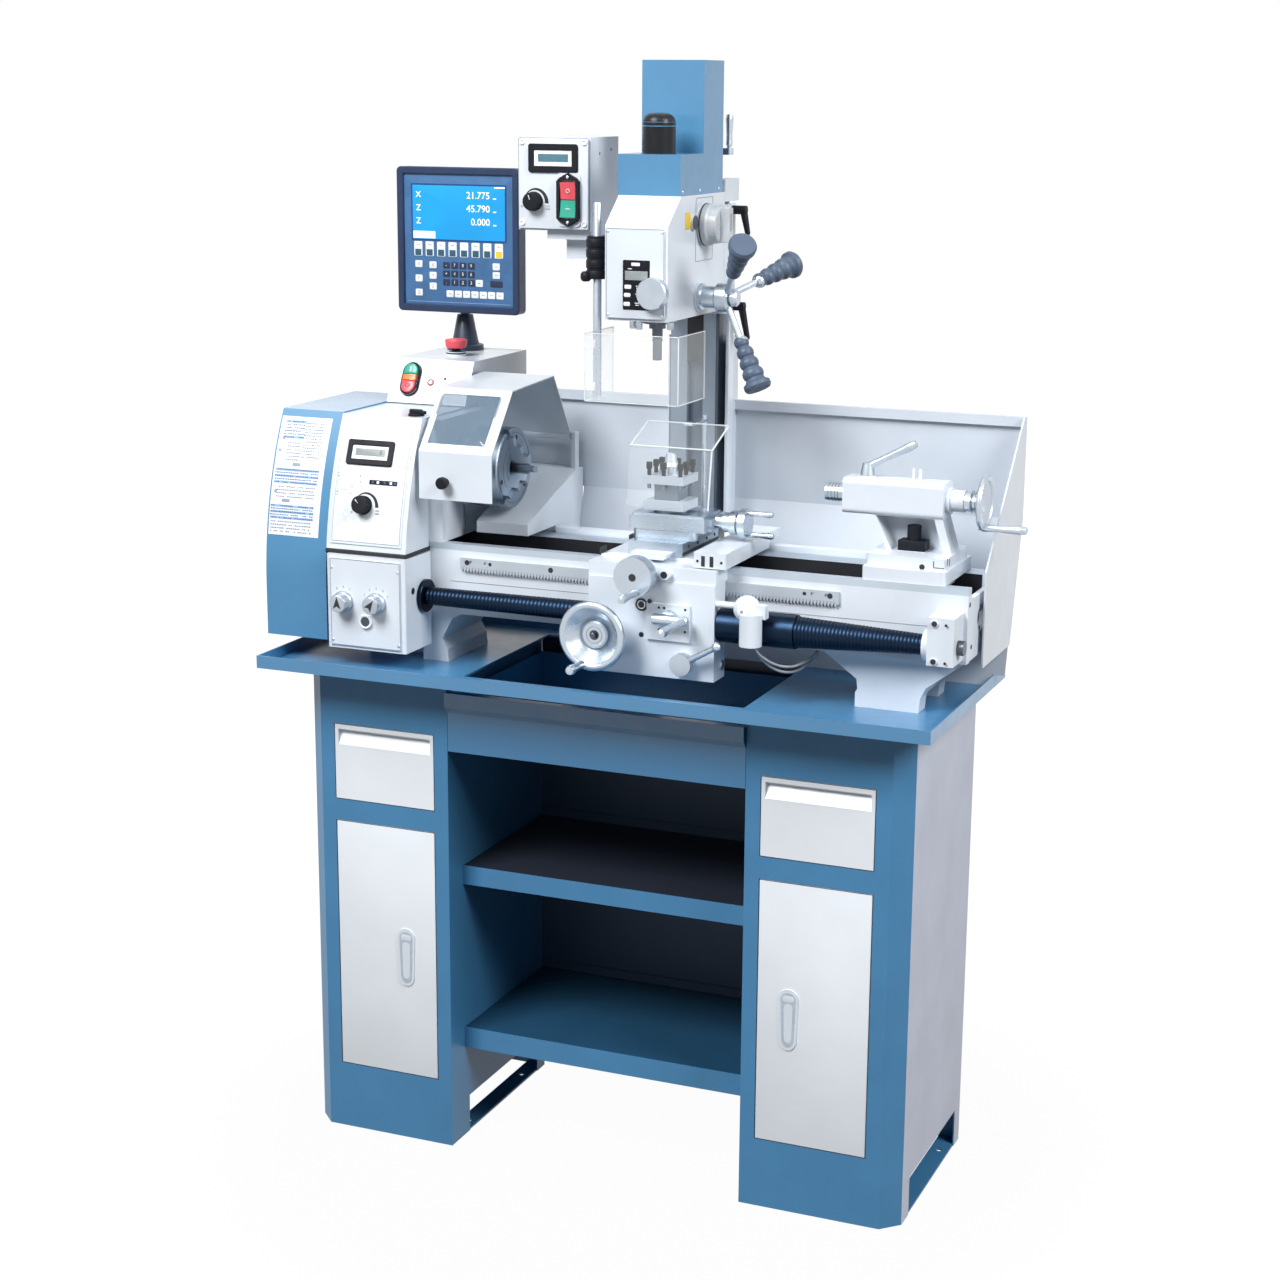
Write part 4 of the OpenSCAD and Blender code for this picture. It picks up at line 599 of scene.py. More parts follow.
def dashes(area, lines, seed, size=(2.2, 5.5), gap=1.5, thick=0.15, proud=0.4, height=1.7):
    """Printed rows of short bars on the swept front, each line a run of bars of random length."""
    rng = np.random.default_rng(seed)
    (x0, x1), (z0, z1) = area
    cells = []
    for z in np.linspace(z1, z0, lines):
        x = x0
        while x < x1 - size[0]:
            width = min(rng.uniform(*size), x1 - x)
            if rng.random() < 0.86:
                cells.append((x, x + width, z - height / 2, z + height / 2))
            x += width + gap
    cells = np.array(cells)
    x = cells[:, [0, 1, 1, 0]]
    z = cells[:, [2, 2, 3, 3]]
    tilt, depth = lean_at(z)
    layers = [np.stack([x, depth - np.cos(tilt) * p, z + np.sin(tilt) * p], -1)
              for p in (proud, proud + thick)]
    points = np.concatenate([layers[0], layers[1]], 1).reshape(-1, 3)
    one = np.array([[3, 2, 1, 0], [4, 5, 6, 7], [0, 1, 5, 4], [1, 2, 6, 5], [2, 3, 7, 6], [3, 0, 4, 7]])
    return points, [(one[None] + 8 * np.arange(len(cells))[:, None, None]).reshape(-1, 4)]


def joined(*shapes):
    """Several shapes as one list of points and faces."""
    points, faces, count = [], [], 0
    for v, groups in shapes:
        points.append(v)
        faces += [g + count for g in groups]
        count += len(v)
    return np.concatenate(points), faces


def lettering(text, height, spot, thick=0.25, align="CENTER", base=0.0):
    """Plain characters of a height, raised from a frame."""
    curve = bpy.data.curves.new("letters", "FONT")
    curve.body, curve.size, curve.extrude = text, height / 0.7, thick / 2
    curve.align_x, curve.align_y, curve.resolution_u = align, "CENTER", 3
    holder = bpy.data.objects.new("letters", curve)
    bpy.context.scene.collection.objects.link(holder)
    bpy.context.view_layer.update()
    mesh = bpy.data.meshes.new_from_object(holder)
    mesh.calc_loop_triangles()
    points = np.zeros(len(mesh.vertices) * 3)
    mesh.vertices.foreach_get("co", points)
    triangles = np.zeros(len(mesh.loop_triangles) * 3, np.int32)
    mesh.loop_triangles.foreach_get("vertices", triangles)
    bpy.data.objects.remove(holder)
    bpy.data.curves.remove(curve)
    bpy.data.meshes.remove(mesh)
    local = points.reshape(-1, 3) + [0, 0, thick / 2 + base]
    return into(local, spot), [triangles.reshape(-1, 3)]


# ---------------------------------------------------------------- properties

def paint(label, note, code):
    """A colour property with a hex default."""
    return FloatVectorProperty(name=label, description=note, subtype="COLOR", size=3, min=0, max=1,
                               default=linear(code))


class MachinePaint(bpy.types.PropertyGroup):
    """Colours of the machine and its stand."""
    blue: paint("Machine blue", "Enamel of the end cover and the milling head's cover", "4B84AC")
    stand_blue: paint("Stand blue", "Powder coat of the cabinets, shelves and tray", "427DA8")
    white: paint("Machine white", "Enamel of the castings and covers", "D7DFE8")
    front_white: paint("Front white", "Powder coat of the drawers and doors", "E3E9EF")
    # Flank grey is painted reflection: the white surround seen at a grazing angle on the cabinets' outer
    # sides, put into their blue paint as grey.
    flank_painted_sheen: paint("Flank grey", "Powder coat of the cabinets' outer sides", "BCC2D2")
    bezel: paint("Display case", "Plastic of the readout's case", "10284A")
    screen: paint("Screen", "Colour of the lit readout screen", "0C96D8")


class MachineLight(bpy.types.PropertyGroup):
    """Strength of the studio lights."""
    key: FloatProperty(name="Key", description="Power of the large light in front",
                       default=500, min=0, unit="POWER")
    fill: FloatProperty(name="Fill", description="Power of the light from the right",
                        default=330, min=0, unit="POWER")
    top: FloatProperty(name="Top", description="Power of the light overhead",
                       default=8, min=0, unit="POWER")
    sky: FloatProperty(name="Surround", description="Strength of the even light from all round",
                       default=0.08, min=0, max=2)


# ---------------------------------------------------------------- finishes

# Each finish by its maker's process, and that process's own values in order: most
# begin with a colour, as a hex code or a paint of the scene, and end with a roughness.
# A zone is its box in machine millimetres and its (colour, metallic, roughness).
RECIPES = {
    "blue_enamel": (textured_enamel, "blue"),
    "white_enamel": (textured_enamel, "white", 0.33),
    "guard_enamel": (textured_enamel, "C6CED8", 0.36),
    "panel_grey": (textured_enamel, "DCE3EC", 0.4),
    "stand_blue_coat": (powder_coat, "stand_blue"),
    "front_white_coat": (powder_coat, "front_white", 0.4),
    # Dark blue of the stand's back sheet: painted shade of the bay.
    "back_coat": (powder_coat, "12304A"),
    "drawer_coat": (powder_coat, "1F6A98"),
    "latch_paint": (powder_coat, "D5DDE6", 0.35),
    "bed_iron": (zoned, ("white", 0.0, 0.4), (
        (((-533, 662), (-119, -98), (1157, 1170)), ("BCC7D2", 0.7, 0.4)),
        (((-533, 662), (18, 63), (1157, 1170)), ("BCC7D2", 0.7, 0.4)),
        # Near-black between the ways: painted shade inside the bed.
        (((-533, 649), (-98.5, 19), (1037, 1168)), ("0B0F18", 0.0, 0.6)),
        (((-306.5, 431.5), (-141, -118.2), (1111, 1147)), ("B4BDC6", 0.35, 0.42)))),
    # The cabinets' outer sides in flank grey: painted reflection of the white surround at a grazing angle.
    "cabinet_coat": (zoned, ("stand_blue", 0.0, 0.42), (
        (((-600, -596.4), (-230, 230), (-5, 960)), ("flank_painted_sheen", 0.0, 0.45)),
        (((596.4, 600), (-230, 230), (-5, 960)), ("flank_painted_sheen", 0.0, 0.45)))),
    # The bay's near-black mid shelf top, dark blue lower shelf top and dark blue back are painted shade
    # inside the stand.
    "shelf_coat": (zoned, ("stand_blue", 0.0, 0.42), (
        (((-300, 300), (-147, 196), (550, 556)), ("131A28", 0.0, 0.6)),
        (((-300, 300), (-147, 196), (220, 228)), ("1C4460", 0.0, 0.45)),
        (((-300, 300), (196, 230), (90, 800)), ("12304A", 0.0, 0.5)))),
    # The end cover's lighter top face is a painted highlight: the reflection of the light overhead.
    "cover_enamel": (zoned, ("blue", 0.0, 0.36), (
        (((-680, -530), (-300, 300), (1404.6, 1420)), ("A9BCD0", 0.0, 0.3)),)),
    "column_iron": (zoned, ("6C7988", 0.3, 0.42), (
        (((-7, 97.2), (50, 139), (1000, 1796)), ("8F9BA8", 0.5, 0.38)),
        (((-10, 120), (50, 210), (1794, 1860)), ("white", 0.0, 0.4)))),
    "post_steel": (zoned, ("B4BFC9", 0.7, 0.34), (
        (((40, 128), (-90, 0), (1272.6, 1303)), ("7A8794", 0.8, 0.38)),
        (((40, 128), (-90, 0), (1318.8, 1345)), ("1C222B", 0.3, 0.45)),
        (((67, 101), (-65, -31), (1317.5, 1362)), ("CBD4DC", 0.6, 0.3)))),
    "capstan_metal": (far_from_axis, (115, -2, 1634), 72, ("BEC8D2", 1.0, 0.28), ("46566B", 0.0, 0.5)),
    "ground_steel_x": (ground_steel, "BDC9D5", "x"),
    "ground_steel_y": (ground_steel, "BDC9D5", "y"),
    "spring_steel": (ground_steel, "1D2B3D", "x", 0.33),
    "blued_steel": (ground_steel, "5E646C", "z", 0.35),
    "jaw_steel": (ground_steel, "A3AEBA", "x", 0.36),
    "satin_knob": (ground_steel, "BEC8D2", "y", 0.3),
    "chuck_steel": (turned_steel, "93A0AE", (0, LATHE_Y, SPIN_Z), "x", 0.4),
    "quill_steel": (turned_steel, "BEC8D2", (MILL_X, MILL_Y, 0), "z"),
    "chrome": (bright_chrome, "BEC8D2", 0.28),
    "black_abs": (moulded_plastic, "0B0F18", 0.48, 1.3),
    "key_panel": (moulded_plastic, "0B0F18", 0.3, 1.3),
    "cap_black": (moulded_plastic, "14171B", 0.3, 1.33),
    "stand_black": (moulded_plastic, "1E2C40", 0.35),
    "navy_abs": (moulded_plastic, "bezel", 0.4),
    "key_navy": (moulded_plastic, "14213F", 0.4),
    "face_blue": (moulded_plastic, "3F6A98", 0.38),
    "white_abs": (moulded_plastic, "F1F3F5", 0.35),
    "key_white": (moulded_plastic, "F1F3F5", 0.45),
    "silver_abs": (moulded_plastic, "BFC4C9", 0.3),
    "red_abs": (moulded_plastic, "D8332B", 0.25),
    "green_abs": (moulded_plastic, "2F9E54", 0.25),
    "yellow_abs": (moulded_plastic, "EAC62F", 0.3),
    "start_green": (moulded_plastic, "2FA58C", 0.22),
    "stop_red": (moulded_plastic, "E2525E", 0.22),
    "stop_red_matt": (moulded_plastic, "E2525E", 0.4),
    "dark_red": (moulded_plastic, "8E2B3A", 0.3),
    "lamp_orange": (moulded_plastic, "F2803C", 0.2),
    "wiper_rubber": (moulded_plastic, "26292E", 0.6),
    "cable_braid": (moulded_plastic, "8A9098", 0.55),
    "clear_acrylic": (clear_acrylic, "F2F8FB"),
    "post_sheet": (clear_acrylic, "F2F8FB", 0.05, 0.05),
    "acrylic_edge": (clear_acrylic, "F2F8FB", 0.05, 0.62),
    "hood_window": (clear_acrylic, "6F8496", 0.06, 0.5),
    "black_ink": (printed, "17191D"),
    "grey_ink": (printed, "8F97A3"),
    "navy_ink": (printed, "274B7A"),
    "table_ink": (printed, "4A5682"),
    "pale_ink": (printed, "7A8294"),
    "pale_line": (printed, "86A7CB"),
    "stop_mark": (printed, "8E2B3A"),
    "seam_shadow": (printed, "2A3038"),
    "latch_shadow": (printed, "B3BCC8"),
    "white_film": (printed, "E2E8EE"),
    "blue_film": (printed, "8FB2D8"),
    "screen_dark": (printed, "0A3F7E", 0.3),
    "key_teal": (printed, "2B5468", 0.3),
    "teal_lcd": (printed, "4F7C8C", 0.2),
    "grey_lcd": (printed, "8E9698", 0.2),
    "dark_glass": (printed, "3B4650", 0.1),
    "white_glow": (lit_screen, "F1F3F5"),
    "lit_screen": (lit_screen, "screen", 0.2),
}

NODE_FINISH = {
    "blue_enamel": ("head_cover",),
    "cover_enamel": ("end_cover",),
    "white_enamel": ("headstock", "feed_gearbox", "rear_housing", "chuck_guard", "carriage", "mill_head",
                     "mill_control_box", "tailstock"),
    "guard_enamel": ("splash_guard",),
    "cabinet_coat": ("cabinets",),
    "shelf_coat": ("bay_shelves",),
    "stand_blue_coat": ("chip_tray",),
    "drawer_coat": ("chip_drawer",),
    "front_white_coat": ("left_drawer", "right_drawer", "left_door", "right_door"),
    "bed_iron": ("bed",),
    "column_iron": ("column",),
    "chuck_steel": ("chuck",),
    "jaw_steel": ("jaw_1", "jaw_2", "jaw_3"),
    "post_steel": ("tool_post",),
    "ground_steel_x": ("compound_base", "compound_slide", "tailstock_quill"),
    "ground_steel_y": ("cross_slide",),
    "quill_steel": ("mill_quill",),
    "blued_steel": ("leadscrew", "left_screw_cover", "right_screw_cover", "mill_spindle"),
    "capstan_metal": ("capstan",),
    "chrome": ("apron_handwheel", "feed_lever", "halfnut_lever", "cross_feed_crank", "compound_crank",
               "fine_feed_wheel", "column_crank", "tailstock_handwheel", "quill_lock_lever"),
    "silver_abs": ("feed_knob_left", "feed_knob_right", "gear_selector"),
    "black_abs": ("speed_knob", "head_lever_upper", "head_lever_lower", "mill_speed_knob"),
    "red_abs": ("stop_button", "emergency_stop", "mill_switch"),
    "green_abs": ("start_button",),
    "navy_abs": ("readout_display",),
    "clear_acrylic": ("spindle_guard",),
    "post_sheet": ("chip_guard",),
    "cable_braid": ("guard_cable",),
}
FINISHES = {}


def finish(name):
    """The named finish, made once from its recipe."""
    if name not in FINISHES:
        recipe, *settings = RECIPES[name]
        FINISHES[name] = recipe(name, *settings)
    return FINISHES[name]


def build(name, shape, key, body="machine", angle=35.0, replaces=()):
    """A shape as a piece in a finish: its seams sealed, smooth below an angle, and riding on a body when one
    is given."""
    points, faces = shape
    mesh = bpy.data.meshes.new(name)
    mesh.from_pydata(place(points).tolist(), [], [f for group in faces for f in group.tolist()])
    work = bmesh.new()
    work.from_mesh(mesh)
    bmesh.ops.remove_doubles(work, verts=work.verts, dist=2e-6)
    bmesh.ops.dissolve_degenerate(work, edges=work.edges, dist=1e-6)
    bmesh.ops.recalc_face_normals(work, faces=work.faces)
    work.to_mesh(mesh)
    work.free()
    piece = bpy.data.objects.new(name, mesh)
    bpy.context.scene.collection.objects.link(piece)
    mesh.polygons.foreach_set("use_smooth", np.ones(len(mesh.polygons), bool))
    mesh.set_sharp_from_angle(angle=math.radians(angle))
    mesh.materials.append(finish(key))
    if body:
        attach(piece, body)
    if replaces:
        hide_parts(*replaces)
    return piece


# ---------------------------------------------------------------- operators

class LATHEMILL_OT_stage(bpy.types.Operator):
    """Camera, floor, surround and lights"""
    bl_idname = "lathe_mill.stage"
    bl_label = "Stage"

    def place_camera(self, scene):
        """Looks along yaw and pitch, and rolls the picture's upright a little."""
        yaw, pitch, roll = (math.radians(a) for a in (YAW, PITCH, ROLL))
        ahead = np.array([-math.sin(yaw) * math.cos(pitch), math.cos(yaw) * math.cos(pitch), math.sin(pitch)])
        right = np.array([math.cos(yaw), math.sin(yaw), 0])
        up = np.cross(right, ahead)
        tilted = math.cos(roll) * right + math.sin(roll) * up
        upright = math.cos(roll) * up - math.sin(roll) * right
        camera = bpy.data.cameras.new("camera")
        camera.lens, camera.sensor_width, camera.sensor_fit = LENS_MM, SENSOR_MM, "HORIZONTAL"
        camera.clip_start, camera.clip_end = 0.1, 100
        holder = bpy.data.objects.new("camera", camera)
        matrix = Matrix.Identity(4)
        for column, axis in enumerate((tilted, upright, -ahead)):
            for row in range(3):
                matrix[row][column] = axis[row]
        matrix.translation = place(CAMERA_PLACE)
        holder.matrix_world = matrix
        scene.collection.objects.link(holder)
        scene.camera = holder

    def background_rays(self, tree):
        """One where a ray comes from the camera, a mirror or a clear sheet, and zero elsewhere."""
        rays = node(tree, "LightPath").outputs
        direct = node(tree, "Math", {"operation": "MAXIMUM"},
                      {0: rays["Is Camera Ray"], 1: rays["Is Transmission Ray"]})
        return node(tree, "Math", {"operation": "MAXIMUM"},
                    {0: direct.outputs[0], 1: rays["Is Glossy Ray"]}).outputs[0]

    def lay_floor(self, scene):
        """A grey floor for the light that falls on it, which a camera sees as white further out."""
        s = FLOOR_HALF
        floor = bpy.data.meshes.new("floor")
        floor.from_pydata([(-s, -s, 0), (s, -s, 0), (s, s, 0), (-s, s, 0)], [], [(0, 1, 2, 3)])
        ground = bpy.data.objects.new("floor", floor)
        ground.location.z = -0.0005
        scene.collection.objects.link(ground)
        material = bpy.data.materials.new("studio_floor")
        material.use_nodes = True
        tree = material.node_tree
        tree.nodes.clear()
        matt = node(tree, "BsdfDiffuse", {"Color": (0.09, 0.092, 0.095, 1)})
        white = node(tree, "Emission", {"Color": (1, 1, 1, 1), "Strength": 1.08})
        where = node(tree, "TexCoord").outputs["Object"]
        away = node(tree, "VectorMath", {"operation": "LENGTH"}, {0: where}).outputs["Value"]
        fade = ranged(tree, away, 0.9, 1.0, 0.7, 2.0)
        share = node(tree, "Math", {"operation": "MULTIPLY"}, {0: self.background_rays(tree), 1: fade})
        mixed = node(tree, "MixShader", links={0: share.outputs[0], 1: matt.outputs[0], 2: white.outputs[0]})
        node(tree, "OutputMaterial", links={"Surface": mixed.outputs[0]})
        floor.materials.append(material)

    def light_surround(self, scene):
        """White behind the machine, and a dim even light on it."""
        world = bpy.data.worlds.new("studio")
        scene.world = world
        world.use_nodes = True
        tree = world.node_tree
        tree.nodes.clear()
        dim = node(tree, "Background", {"Color": (0.93, 0.96, 1, 1), "Strength": scene.lathe_mill_light.sky})
        bright = node(tree, "Background", {"Color": (1, 1, 1, 1), "Strength": 1.0})
        mixed = node(tree, "MixShader",
                     links={0: self.background_rays(tree), 1: dim.outputs[0], 2: bright.outputs[0]})
        node(tree, "OutputWorld", links={"Surface": mixed.outputs[0]})

    def hang_lamps(self, scene):
        """Square area lamps in front on the left, on the right and overhead."""
        power = scene.lathe_mill_light
        for name, watts, size, spot, aim in (("key", power.key, 2.6, (-1.7, -4.2, 5.5), (0, 0, 0.8)),
                                             ("fill", power.fill, 2.6, (4.8, -1.5, 4.6), (0, 0, 0.9)),
                                             ("top", power.top, 2.4, (0.2, 0.4, 4.6), (0, 0, 1.0))):
            lamp = bpy.data.lights.new(name, "AREA")
            lamp.energy, lamp.size, lamp.shape = watts, size, "SQUARE"
            holder = bpy.data.objects.new(name, lamp)
            turn = Vector(np.array(aim) - np.array(spot)).to_track_quat("-Z", "Y")
            holder.matrix_world = Matrix.Translation(spot) @ turn.to_matrix().to_4x4()
            scene.collection.objects.link(holder)

    def execute(self, context):
        scene = context.scene
        scene.view_settings.view_transform = "Standard"
        self.place_camera(scene)
        self.lay_floor(scene)
        self.light_surround(scene)
        self.hang_lamps(scene)
        return {"FINISHED"}


class LATHEMILL_OT_finishes(bpy.types.Operator):
    """Finishes of the CAD nodes"""
    bl_idname = "lathe_mill.finishes"
    bl_label = "Finishes"

    def execute(self, context):
        for key, names in NODE_FINISH.items():
            for name in names:
                mesh = NODES[name].data
                mesh.materials.clear()
                mesh.materials.append(finish(key))
        return {"FINISHED"}


class LATHEMILL_OT_headstock_panel(bpy.types.Operator):
    """Film, speed display, key strip and scale on the headstock's front"""
    bl_idname = "lathe_mill.headstock_panel"
    bl_label = "Headstock panel"

    def execute(self, context):
        x, z = (-528.5, -386.5), (1175, 1384)
        line = 0.9
        film_x, film_z = (x[0] + line, x[1] - line), (z[0] + line, z[1] - line)
        strips = ((x, (z[0], film_z[0])), (x, (film_z[1], z[1])), ((x[0], film_x[0]), z),
                  ((film_x[1], x[1]), z))
        build("headstock_panel_border", joined(*[on_lean(wide, high, 2.05, 0.25) for wide, high in strips]),
              "grey_ink")
        build("headstock_film", on_lean(film_x, film_z, 2.0, 0.22), "white_film")
        spot = leaning(-465.5, 1336, 2.2)
        build("speed_display_case", frame_of(96, 47, 10.5, 4.2, spot, 4, 1.2), "black_abs")
        build("speed_display_mask", frame_of(77, 28, 7.5, 2.0, spot, 1.5, 0.3), "white_abs")
        build("speed_display_glass", slab(63, 15, 1.2, spot, 0.8, 0.3), "grey_lcd")
        build("speed_display_figures", lettering("0", 8, into_frame(spot, (22, 0, 1.2)), 0.1), "black_ink")
        strip = leaning(-430.3, 1285, 2.2)
        build("direction_key_strip", slab(58, 8.5, 0.8, strip, 1.2, 0.3), "black_abs")
        build("direction_keys", joined(*[slab(w, 5.2, 1.3, strip, 1.0, 0.3, offset=(u, 0))
                                         for u, w in ((-11, 5), (16, 5))]), "white_abs")
        build("direction_key_marks", joined(*[slab(4, 4, 1.1, strip, 0.5, 0.2, offset=(u, 0))
                                              for u in (-22, 3, 25)]), "navy_ink")
        dial = leaning(-466, 1243, 2.2)
        build("speed_scale", joined(wedge_arc(dial, (19.5, 20.5), (24, 31), 140, -6),
                                    lettering("0", 4.5, into_frame(dial, (-24, -15, 0)), 0.2),
                                    lettering("1000", 3.2, into_frame(dial, (29, -9, 0)), 0.2),
                                    lettering("2000", 3.2, into_frame(dial, (29, -14.5, 0)), 0.2)),
              "black_ink")
        lines = [on_lean((-525, -524.2), (1260, 1297), 2.2, 0.2),
                 on_lean((-519, -494), (1268, 1268.7), 2.2, 0.2)]
        lines += [on_lean((-527.5, -521.5), (h, h + 1.6), 2.2, 0.2) for h in (1258, 1263, 1291, 1296)]
        lines += [on_lean((-497, -492), (h, h + 1.4), 2.2, 0.2) for h in (1262, 1274)]
        lines += [slab(3.5, 3.5, 0.2, leaning(-480, 1294, 2.2), 1.7, 0.1),
                  slab(3, 3, 0.2, leaning(-478, 1284, 2.2), 1.4, 0.1)]
        build("gear_sketch", joined(*lines), "grey_ink")
        knob = leaning(-466, 1243, 2.3)
        build("dial_knob", joined(knurled(16.5, 15.5, knob, 36, 0.45, 4.0),
                                  turned([(0, 0), (17.6, 0), (17.6, 3.4), (16.6, 4.2), (0, 4.2)], knob),
                                  slab(1.6, 11, 0.5, into_frame(knob, (-4, 4, 19.4)), 0.6, 0.2)),
              "black_abs", "speed_knob", replaces=("speed_knob",))
        build("dial_knob_mark", turned_box(knob, 1.4, 9, 0.35, 19.5, (0, 8), 45), "white_abs", "speed_knob")
        cap = top(-402, -108, 1402)
        build("oil_filler_cap", joined(turned([(0, -1), (15, -1), (15, 3), (13.5, 4.5), (0, 4.5)], cap),
                                       slab(27, 11, 8, into_frame(cap, (0, 0, 4)), 5, 2.0),
                                       slab(16, 8, 6, into_frame(cap, (14, -2, 4)), 4, 1.5)), "black_abs")
        return {"FINISHED"}


class LATHEMILL_OT_chart(bpy.types.Operator):
    """Printed gear chart on the end cover"""
    bl_idname = "lathe_mill.chart"
    bl_label = "Gear chart"

    def execute(self, context):
        build("gear_chart_film", on_lean((-666, -558.5), (1176, 1391), 0.0, 0.4), "white_film")
        tables = (((-656, -612), (1352, 1384), 2), ((-662, -569), (1271, 1298), 3),
                  ((-664, -572), (1206, 1232), 3))
        build("gear_chart_bands", joined(*[on_lean(x, (low, low + 4.6), 0.4, 0.12) for x, z, n in tables
                                           for low in np.linspace(z[0], z[1] - 4.6, n)]), "blue_film")
        figures = (((-612, -572), (1318, 1382)), ((-644, -614), (1312, 1346)), ((-655, -572), (1245, 1267)),
                   ((-662, -575), (1181, 1203)))
        for name, key, seed, areas in (("gear_chart_heads", "table_ink", 7, [t[:2] for t in tables]),
                                       ("gear_chart_figures", "pale_ink", 17, figures)):
            build(name, joined(*[dashes((x, (z[0] + 2, z[1] - 2)), max(3, int((z[1] - z[0]) / 5)), seed + i,
                                        (2.0, 4.2), 1.3, proud=0.55, height=1.9)
                                 for i, (x, z) in enumerate(areas)]), key)
        build("gear_chart_titles", joined(*[slab(17, 6, 0.2, leaning(x, z, 0.4), 0.6, 0.1)
                                            for x, z in ((-619, 1306), (-633, 1240))],
                                          *[slab(6, 6, 0.2, leaning(x, z, 0.4), 2.6, 0.1)
                                            for x, z in ((-655, 1352), (-659, 1330), (-657, 1256))]),
              "grey_ink")
        return {"FINISHED"}


class LATHEMILL_OT_gearbox(bpy.types.Operator):
    """Cover plate, selector knobs, marks and oil sight of the feed gearbox"""
    bl_idname = "lathe_mill.gearbox"
    bl_label = "Feed gearbox"

    def execute(self, context):
        face = -226.0
        plate = front(-451.5, face, 1063.5)
        build("gearbox_plate_edge", frame_of(146, 164, 1.2, 0.35, plate, 3, 0.1), "grey_ink")
        for side_name, x, z, turn in (("left", -497, 1065, 0), ("right", -428, 1067, -35)):
            spot = front(x, face - 0.3, z)
            skirt = [(0, 0), (19.5, 0), (20, 0.5), (20, 5), (18.5, 7.5), (17.2, 8.5), (17, 23), (16, 25.2),
                     (14.6, 26), (0, 26)]
            knob = f"feed_knob_{side_name}"
            build(f"{side_name}_selector", turned(skirt, spot, 64), "satin_knob", knob, replaces=(knob,))
            head = spun(into_frame(spot, (0, 0, 26)), turn)
            build(f"{side_name}_selector_arrow",
                  prism([(0, 13), (-8, -9.5), (0, -5), (8, -9.5)][::-1], head, 0, 0.3), "black_ink", knob)
            build(f"{side_name}_selector_screw",
                  dome_screw(axes((x + 17, face - 0.3 - 15, z), (0, 0, 1), (0, 1, 0)), 2.6, 0.5),
                  "black_ink", knob)
        marks = []
        for x, z, radius, signs, first in ((-497, 1065, 27, "BAC", -30), (-428, 1067, 28, "12345", -60)):
            for i, sign in enumerate(signs):
                angle = math.radians(first + 30 * i)
                spot = front(x + radius * math.sin(angle), face, z + radius * math.cos(angle))
                marks.append(lettering(sign, 5, spot, 0.2))
        build("selector_marks", joined(*marks), "grey_ink")
        sight = front(-450, -230.0, 1031)
        build("oil_sight_ring", turned([(9.2, -3), (9.2, 0.6), (10.2, 1.2), (12.4, 1.2), (13.1, 0.5),
                                        (13.1, -3.5)], sight, 48), "white_abs")
        build("oil_sight_glass", turned([(0, 0.6), (2.4, 0.5), (2.6, 0.2), (5.8, 0.2), (6, 0.8), (9.3, 0.6),
                                         (9.3, -2), (0, -2)], sight, 48), "dark_glass")
        build("gearbox_screws", joined(*[dome_screw(front(x, face, z), 3.2, 1.0) for x in (-521, -382)
                                         for z in (990, 1128)]), "chrome")
        build("gearbox_shaft_bore", turned([(0, 0.35), (6.4, 0.35), (6.4, 0), (0, 0)],
                                           side(-369, -193, 1089), 32), "black_ink")
        build("headstock_joint_strip", box((-541, -372), (-213, -60), (1153, 1159.5), 0.5), "black_ink")
        return {"FINISHED"}


